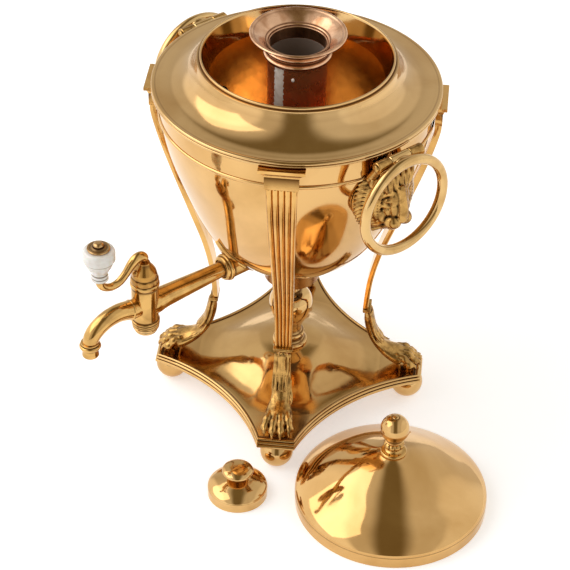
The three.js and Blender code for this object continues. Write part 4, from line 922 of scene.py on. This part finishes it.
# Turned brass dulled by fingers: soft reflections, and dark brown painted shade in the grooves.
aged_brass = polished_metal(
    "aged_turned_brass", "#c79f6c", "#8f6c44", 7, 5, 0.05, 0.12, 0.3, groove_shade="#2f1a10",
)
mount_turned(
    "dished_knob_cap", knob_cap_line, aged_brass, "brass", "tap_key", ["knob_cap"],
    56, knob_axis, knob_top + gap, edge=0.1,
)

# Lion masks: two cast brass heads, chased by hand, one on each side of the bowl, held by a stud and
# nut through the wall. Two arms rise from the mane to the knuckles of the ring's hinge.
mask_z = bowl_top - 41.5
hinge_x, hinge_z = 121.4, bowl_top - 2.7
knuckle_radius = 4.8
knuckle_wide = 13
sleeve_half = 9.3
pin_radius = 2
sides = {"right": 0, "left": math.pi}


def lion_head():
    """One head facing along x, with its mane."""
    bm = bmesh.new()

    def wax(x, y, z, *size):
        lump(bm, (x, y, mask_z + z), size)

    def lock(*pins, up=(1, 0, 0), sides=10, flat=1.0):
        strand(bm, [(x, y, mask_z + z, radius) for x, y, z, radius in pins], up, sides, flat)

    wax(103, 0, 0, 13.5, 28.5, 31)
    wax(106, 0, 3, 16.4, 17.5, 25.5)
    wax(113, 0, -9, 11, 13.5, 15)
    lock((123.8, 0, 17, 4.4), (126.4, 0, 10, 4), (128.4, 0, 2, 4), (129.4, 0, -6, 4.5), (128.8, 0, -11, 4.9),
         up=(0, 1, 0), sides=16, flat=1.1)
    wax(129.6, 0, -12, 4, 5.6, 4)
    wax(119, 0, -22.5, 6.6, 7.4, 5)
    for s in (-1, 1):
        wax(123.5, s * 5.6, -15.4, 8.4, 6.6, 6.2)
        wax(117, s * 7, 2, 7.2, 7.5, 10)
        wax(118.5, s * 7, -6, 7, 6.4, 7)
        lock((124.2, s * 3, 9.6, 3.2), (121.8, s * 8.5, 10.8, 3), (117, s * 14, 7, 2.6))
        wax(121.4, s * 4.5, 4, 7.2, 5.6, 10)
        wax(122.4, s * 9.2, 4.6, 2.6, 3.2, 2.2)
        wax(122.6, s * 4.9, -4, 6.4, 5.2, 9)
        lock((123.6, s * 6, -2, 2.6), (120.8, s * 10, -0.4, 2.9), (116.4, s * 15, 0.4, 2.6),
             (112, s * 19, 0, 1.8))
        wax(115, s * 12, -11, 7.4, 6.4, 9)
        lock((127, s * 6.4, -12, 1.1), (121.8, s * 12, -14.5, 1.3), (114.8, s * 17, -20, 1.2))
        lock((125, s * 6, -18.4, 1.1), (118.8, s * 12, -21.5, 1.3), (111.5, s * 16.5, -27, 1.2))
        wax(114, s * 17.5, 20, 4.4, 4.6, 5.4)
    # Locks of the mane, in two layers, waving out from the face to the rim.
    wave, locks = 0.13, 23
    for s in (-1, 1):
        for layer in range(2):
            reach = 1 - 0.32 * layer
            for i in range(locks):
                a = math.radians(12 + 160 * (i + 0.5 + 0.5 * layer) / locks)
                pins = []
                for share, bow, thick in ((0, 0, 0.9), (0.3, 1, 1.25), (0.65, -1, 1.6), (1, 0.6, 0.9)):
                    turn = a + bow * wave
                    y = (14.5 + 15.7 * share * reach) * math.sin(turn)
                    z = (21.5 + 12.3 * share * reach) * math.cos(turn) - 0.5
                    drop = 15 * (share * reach) ** 1.5
                    pins.append((119 + 1.2 * layer - drop, s * y, z, thick))
                lock(*pins)
    # Hair combed down over the forehead.
    for i in range(-5, 6):
        y = i * 3
        off = abs(i)
        sway = 0.8 if i % 2 else -0.6
        lock((117.4 - 0.2 * off, y, 31.5, 1.2), (121.6 - 0.2 * off, y * 0.98 + sway, 25, 1.55),
             (124.6 - 0.4 * off + 0.5 * sway, y * 0.86 - sway, 17.5, 1.7),
             (126 - 0.75 * off, y * 0.7, 10.5, 1.2))
    cast = fuse(bm, 0.5, 3)
    # The back is pressed out to the bowl's wall, and over its bead.
    for vert in cast.verts:
        wall = bowl_reach(vert.co.z) + 0.6
        if abs(vert.co.z - bead_z) < 2:
            wall = bead_foot + 1.8
        least = math.sqrt(max(wall**2 - vert.co.y**2, 1))
        vert.co.x = max(vert.co.x, least)
    return cast


def sleeve_line(half, bore):
    """The outline of a sleeve round the hinge's pin, with rounded ends."""
    end = flow([(4.2, -half), (4.7, 0.5 - half), (knuckle_radius, 1.2 - half)], 3)
    return [(bore, -half), *end, *((r, -z) for r, z in reversed(end)), (bore, half)]


mask = lion_head()
# Two arms with their knuckles, on either side of the ring's sleeve.
for side in (-1, 1):
    middle = side * (sleeve_half + gap + knuckle_wide / 2)
    strand(mask, [
        (108.5, middle, mask_z + 19, 4.2), (112.6, middle, mask_z + 25, 3.8),
        (116.6, middle, mask_z + 31.6, 3.6), (hinge_x - 0.6, middle, hinge_z - 0.6, 4.2),
    ], flat=1.5, sides=24, blunt=0.2)
    across = Matrix.Translation((hinge_x, middle, hinge_z)) @ lie_down
    turn_on_lathe(mask, sleeve_line(knuckle_wide / 2, pin_radius + 0.1), 40, across)
for side, turn in sides.items():
    mount(
        f"lion_head_{side}", mask.copy(), chased_brass, "cast_brass", "urn", [f"lion_mask_{side}"],
        turn=turn, edge=0, groove_shade=(40, 0.45 * mm),
    )
mask.free()

# Ring handles: a polished brass ring fused to a short sleeve, which swings on a riveted pin between
# the mask's knuckles.
ring_radius = 39.3
ring_tube = 4.15
ring_x = hinge_x + knuckle_radius + gap + ring_tube
ring_z = hinge_z + 1.5 - ring_radius
# Bar polished by the hands that lift it: pale, with long clear highlights.
ring_brass = polished_metal("polished_ring_brass", "#dcb67a", "#bf955a", 18, 10, 0.05, 0.06, 0.15)
ring = bmesh.new()
spot = Matrix.Translation((ring_x, 0, ring_z + ring_radius)) @ lie_down
rim = bmesh.ops.create_circle(ring, cap_ends=False, radius=ring_tube, segments=32, matrix=spot)["verts"]
bmesh.ops.spin(
    ring, geom=rim + list({edge for vert in rim for edge in vert.link_edges}), cent=(ring_x, 0, ring_z),
    axis=(1, 0, 0), angle=2 * math.pi, steps=120, use_merge=True,
)
across = Matrix.Translation((hinge_x, 0, hinge_z)) @ lie_down
turn_on_lathe(ring, sleeve_line(sleeve_half, pin_radius + 0.2), 40, across)
lump(ring, ((ring_x + hinge_x) / 2 + 0.6, 0, hinge_z + 0.8), (4.4, 8, 3.5))
pin_half = sleeve_half + knuckle_wide + 2 * gap
head = [(0, 1.6), *flow([(1.6, 1.5), (2.8, 0.9), (3.2, 0)], 3)]
pin_line = [*((r, -pin_half - z) for r, z in head), (pin_radius, -pin_half)]
pin_line += [(r, -z) for r, z in reversed(pin_line)]
for side, turn in sides.items():
    mount(
        f"swinging_ring_{side}", ring.copy(), ring_brass, "pale_brass", f"ring_{side}",
        [f"ring_handle_{side}"], turn=turn, edge=0,
    )
    mount_turned(
        f"riveted_pin_{side}", pin_line, chased_brass, "brass", "urn", [f"hinge_pin_{side}"],
        32, across, turn=turn, edge=0,
    )
ring.free()

# Lid: spun brass sheet with a straight skirt that slips over the neck. It lies on the table beside
# the urn, standing on its skirt.
lid_spot = (165.8, -27.4)
lid_radius, lid_inside = 79, 77.8
lid_height = 53
lid_wall = 1.2
lid_hole = 2.6
lid_pins = [
    (lid_radius - 0.2, 11.2), (78.2, 13.1), (76.2, 15.6), (70.8, 20.1), (60.6, 27), (47, 35.7), (33.3, 42.9),
    (21, 48.6), (13.6, 51.6), (10.8, lid_height),
]
dome = [tuple(p) for p in flow(lid_pins, 7)]
lid_inner = inner_side(dome, lid_wall)
lid_inner = [(r, z) for r, z in lid_inner if r < lid_inside - 0.4 and z < lid_height - lid_wall - 0.3]
skirt = lid_radius - 0.1
lid_line = [
    (lid_inside, 0), *flow([(78.6, 0), (skirt, 0.5), (skirt, 1.2)], 3),
    *flow([(skirt, 9.4), (78.7, 9.9), (78.7, 10.4), (skirt, 10.9)], 3), *dome, (lid_hole, lid_height),
    (lid_hole, lid_height - lid_wall), *reversed(lid_inner), (lid_inside, 11.5),
]
mount_turned(
    "spun_lid", lid_line, spun_brass, "brass", "lid", ["lid"], sheet_steps, at=lid_spot, crisp=40,
)

# Collar of the lid's finial: cast brass, with a round foot, a narrow neck and a fluted cup. The
# finial's stud clamps it to the lid.
collar_foot = lid_height + gap
collar_height = 12.6
collar_line = [
    *flow([(10.1, 0, 0), (10.7, 0.6, 0), (10.7, 1.6, 0), (10.1, 2.2, 0)], 3),
    *flow([(9.4, 2.5, 0), (7.4, 3, 0), (6, 4.2, 0.1), (6.1, 5, 0.5)], 4),
    *flow([(7.2, 5.8, 1), (8.1, 7, 1.2), (8.5, 8.8, 1.2), (8, 10.2, 1), (6.4, 11.4, 0.5), (5.3, 12, 0)], 4),
    (5.2, collar_height, 0), (lid_hole, collar_height, 0), (lid_hole, 0, 0), (10.1, 0, 0),
]
collar_steps = 80
flutes = 10


def collar_point(i, j):
    """Point i of ring j, where the flutes cut in by the ring's own depth."""
    radius, height, lobe = collar_line[j]
    a = 2 * math.pi * i / collar_steps
    radius -= lobe * (1 - abs(math.sin(flutes / 2 * a))) ** 2
    return Vector((radius * math.cos(a), radius * math.sin(a), collar_foot + height))


bm = bmesh.new()
wrap(bm, collar_steps, len(collar_line) - 1, collar_point)
mount(
    "fluted_collar", bm, cast_brass, "brass", "lid", ["lid_collar"],
    at=lid_spot, edge=0.1, groove_shade=(6, 0.4 * mm),
)

# Finial: a turned brass ball on a thin disc, with a small nipple on top. Its stud goes down
# through the collar and the lid, where a nut holds it.
ball_radius = 12.2
ball_z = lid_height + 25.6
ball_foot = collar_foot + collar_height + gap
finial_line = [
    (0, lid_height - 5.7), (2.3, lid_height - 5.7), (2.3, ball_foot),
    *flow([(7.2, ball_foot), (7.9, ball_foot + 0.4), (7.9, ball_foot + 1), (7.2, ball_foot + 1.4)], 3),
    *ball_line(ball_radius - 0.3, ball_z - 0.3, ball_foot + 2.3, ball_z + 10.8, 28),
    *flow([(2.6, ball_z + 11.2), (2.3, ball_z + 11.8), (1.4, ball_z + 12.1), (0, ball_z + 12.2)], 3),
]
mount_turned(
    "ball_finial", finial_line, turned_brass, "brass", "lid", ["lid_finial"], 72, at=lid_spot, edge=0.15,
)

# Chimney cap: spun brass with a cylindrical skirt and a low dome, and a turned disc knob screwed
# on top. It lies on the table in front of the urn.
cap_spot = (82, -121.5)
cap_radius = 24.7
cap_wall = 1.2
cap_height = 19.6
cap_dome = [tuple(p) for p in flow([
    (24.4, 8.9), (24, 9.7), (22.6, 11), (18.8, 13.5), (14, 15.5), (11.9, 16.3), (8, 17.6), (5.2, 18.2),
    (4.6, 18.9), (4.5, cap_height),
], 5)]
cap_inside = cap_radius - cap_wall
cap_inner = [(r, z) for r, z in inner_side(cap_dome, cap_wall) if 6 < r < cap_inside - 0.3]
cap_line = [
    (cap_inside, 0), *flow([(24.3, 0), (cap_radius, 0.4), (cap_radius, 1)], 3),
    *flow([(cap_radius, 7.4), (cap_radius, 8), (24.4, 8.6)], 3), *cap_dome, (2.6, cap_height), (2.6, 16.6),
    *reversed(cap_inner), (cap_inside, 8.4),
]
mount_turned("spun_cap", cap_line, turned_brass, "brass", "cap", ["chimney_cap"], 96, at=cap_spot, edge=0.2)
disc_line = [
    (0, -2.7), (2.3, -2.7), (2.3, gap),
    *flow([(4.6, gap), (5.4, 1.6), (7.6, 2.6), (10.6, 3.2), (12.5, 4), (12.9, 4.9), (12.5, 6.1), (10.6, 7.4),
           (7.5, 8.5), (4, 9), (0, 9.2)], 5),
]
mount_turned(
    "disc_knob", disc_line, turned_brass, "brass", "cap", ["cap_knob"], 72, foot=cap_height,
    at=cap_spot, edge=0.1,
)

# Hidden fastenings and the grate: wrought iron, dark and rough with scale, with no mirror and only
# a faint grey sheen.
iron = polished_metal("wrought_iron", "#5a5450", "#2f2a27", 5, 2, 0.1, 0.45, 0.75, groove_shade=None)
hidden = ["grate", "tie_bolt", "tie_nut", "lid_nut", *(f"mask_nut_{side}" for side in sides)]
for name in hidden + [f"leg_screw_{corner}" for corner in corners]:
    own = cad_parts[name].data.materials
    own.clear()
    own.append(iron)


def white_table():
    """Matt white card that shows white to the camera and in the brass, and keeps soft shadows."""
    finish, tree, shader = new_finish("white_card")
    path = add(tree, "LightPath").outputs
    seen = path["Is Camera Ray"]
    for ray in ("Is Glossy Ray", "Is Transmission Ray"):
        seen = add(tree, "Math", {0: seen, 1: path[ray]}, operation="MAXIMUM").outputs[0]
    glow = add(tree, "Math", {0: seen, 1: 0.44}, operation="MULTIPLY").outputs[0]
    white = (1, 1, 1, 1)
    feed(tree, shader, {
        "Base Color": colour("#f4f4f4"), "Roughness": 0.9, "Emission Color": white, "Emission Strength": glow,
    })
    return finish


# Table: plain white card under the set.
bm = bmesh.new()
bmesh.ops.create_grid(bm, x_segments=8, y_segments=8, size=6)
table = into_scene("table", into_mesh("table", bm))
table.data.materials.append(white_table())

# Studio: a brown room with a wide white screen on the left of the camera and weaker ones on the
# right and behind the set. The gap at the camera shows brown in the metal. A soft key lamp is on
# the left.
world = bpy.data.worlds.new("studio")
bpy.context.scene.world = world
world.use_nodes = True
tree = world.node_tree
sky = add(tree, "TexCoord").outputs["Generated"]
sideways = {0: sky, 1: (0.643, 0.766, 0)}
across = add(tree, "VectorMath", sideways, operation="DOT_PRODUCT").outputs["Value"]
away = {0: sky, 1: (-0.766, 0.643, 0)}
behind = add(tree, "VectorMath", away, operation="DOT_PRODUCT").outputs["Value"]
light = add(tree, "LightPath").outputs["Is Camera Ray"]
for spread, start, full, strength in (
    (across, -0.12, -0.34, 0.72), (across, -0.4, -0.66, 1.4), (across, 0.14, 0.4, 0.72),
    (across, 0.5, 0.76, 1), (behind, 0.64, 0.76, 0.55),
):
    screen = {0: spread, 1: start, 2: full, 3: 0, 4: strength}
    screen = add(tree, "MapRange", screen, interpolation_type="SMOOTHSTEP").outputs[0]
    light = add(tree, "Math", {0: light, 1: screen}, operation="MAXIMUM").outputs[0]
room = {0: light, 6: (0.22, 0.18, 0.1, 1), 7: (1, 1, 1, 1)}
room = add(tree, "Mix", room, data_type="RGBA", clamp_factor=False).outputs[2]
feed(tree, tree.nodes["Background"], {"Color": room, "Strength": 1})
lamp = bpy.data.lights.new("key_lamp", "AREA")
lamp.shape = "RECTANGLE"
lamp.size = 1.6
lamp.size_y = 1.2
lamp.energy = 8.4
lamp_rise, lamp_distance = math.radians(45), 1.6
from_table = Vector((math.cos(lamp_rise), 0, math.sin(lamp_rise)))
from_table.rotate(Matrix.Rotation(math.radians(-128), 3, "Z"))
stand = into_scene("key_lamp", lamp)
stand.location = urn_axis + Vector((0, 0, 0.2)) + lamp_distance * from_table
stand.rotation_euler = (-from_table).to_track_quat("-Z", "Y").to_euler()

# Camera: it looks 38 degrees down from the right of the front.
lens = bpy.data.cameras.new("camera")
lens.lens = 131.73
lens.sensor_width = 36
lens.clip_start = 0.05
camera = into_scene("camera", lens)
ahead = Vector((-0.60342, 0.50716, -0.61536)).normalized()
right = ahead.cross(Vector((0, 0, 1))).normalized()
upward = right.cross(ahead)
roll = 0.0254
level_right = math.cos(roll) * right + math.sin(roll) * upward
level_up = math.cos(roll) * upward - math.sin(roll) * right
spot = urn_axis + Vector((1.06285, -0.90032, 1.19565))
aim = Matrix((level_right, level_up, -ahead)).transposed().to_4x4()
camera.matrix_world = Matrix.Translation(spot) @ aim
bpy.context.scene.camera = camera
bpy.context.scene.view_settings.view_transform = "Standard"
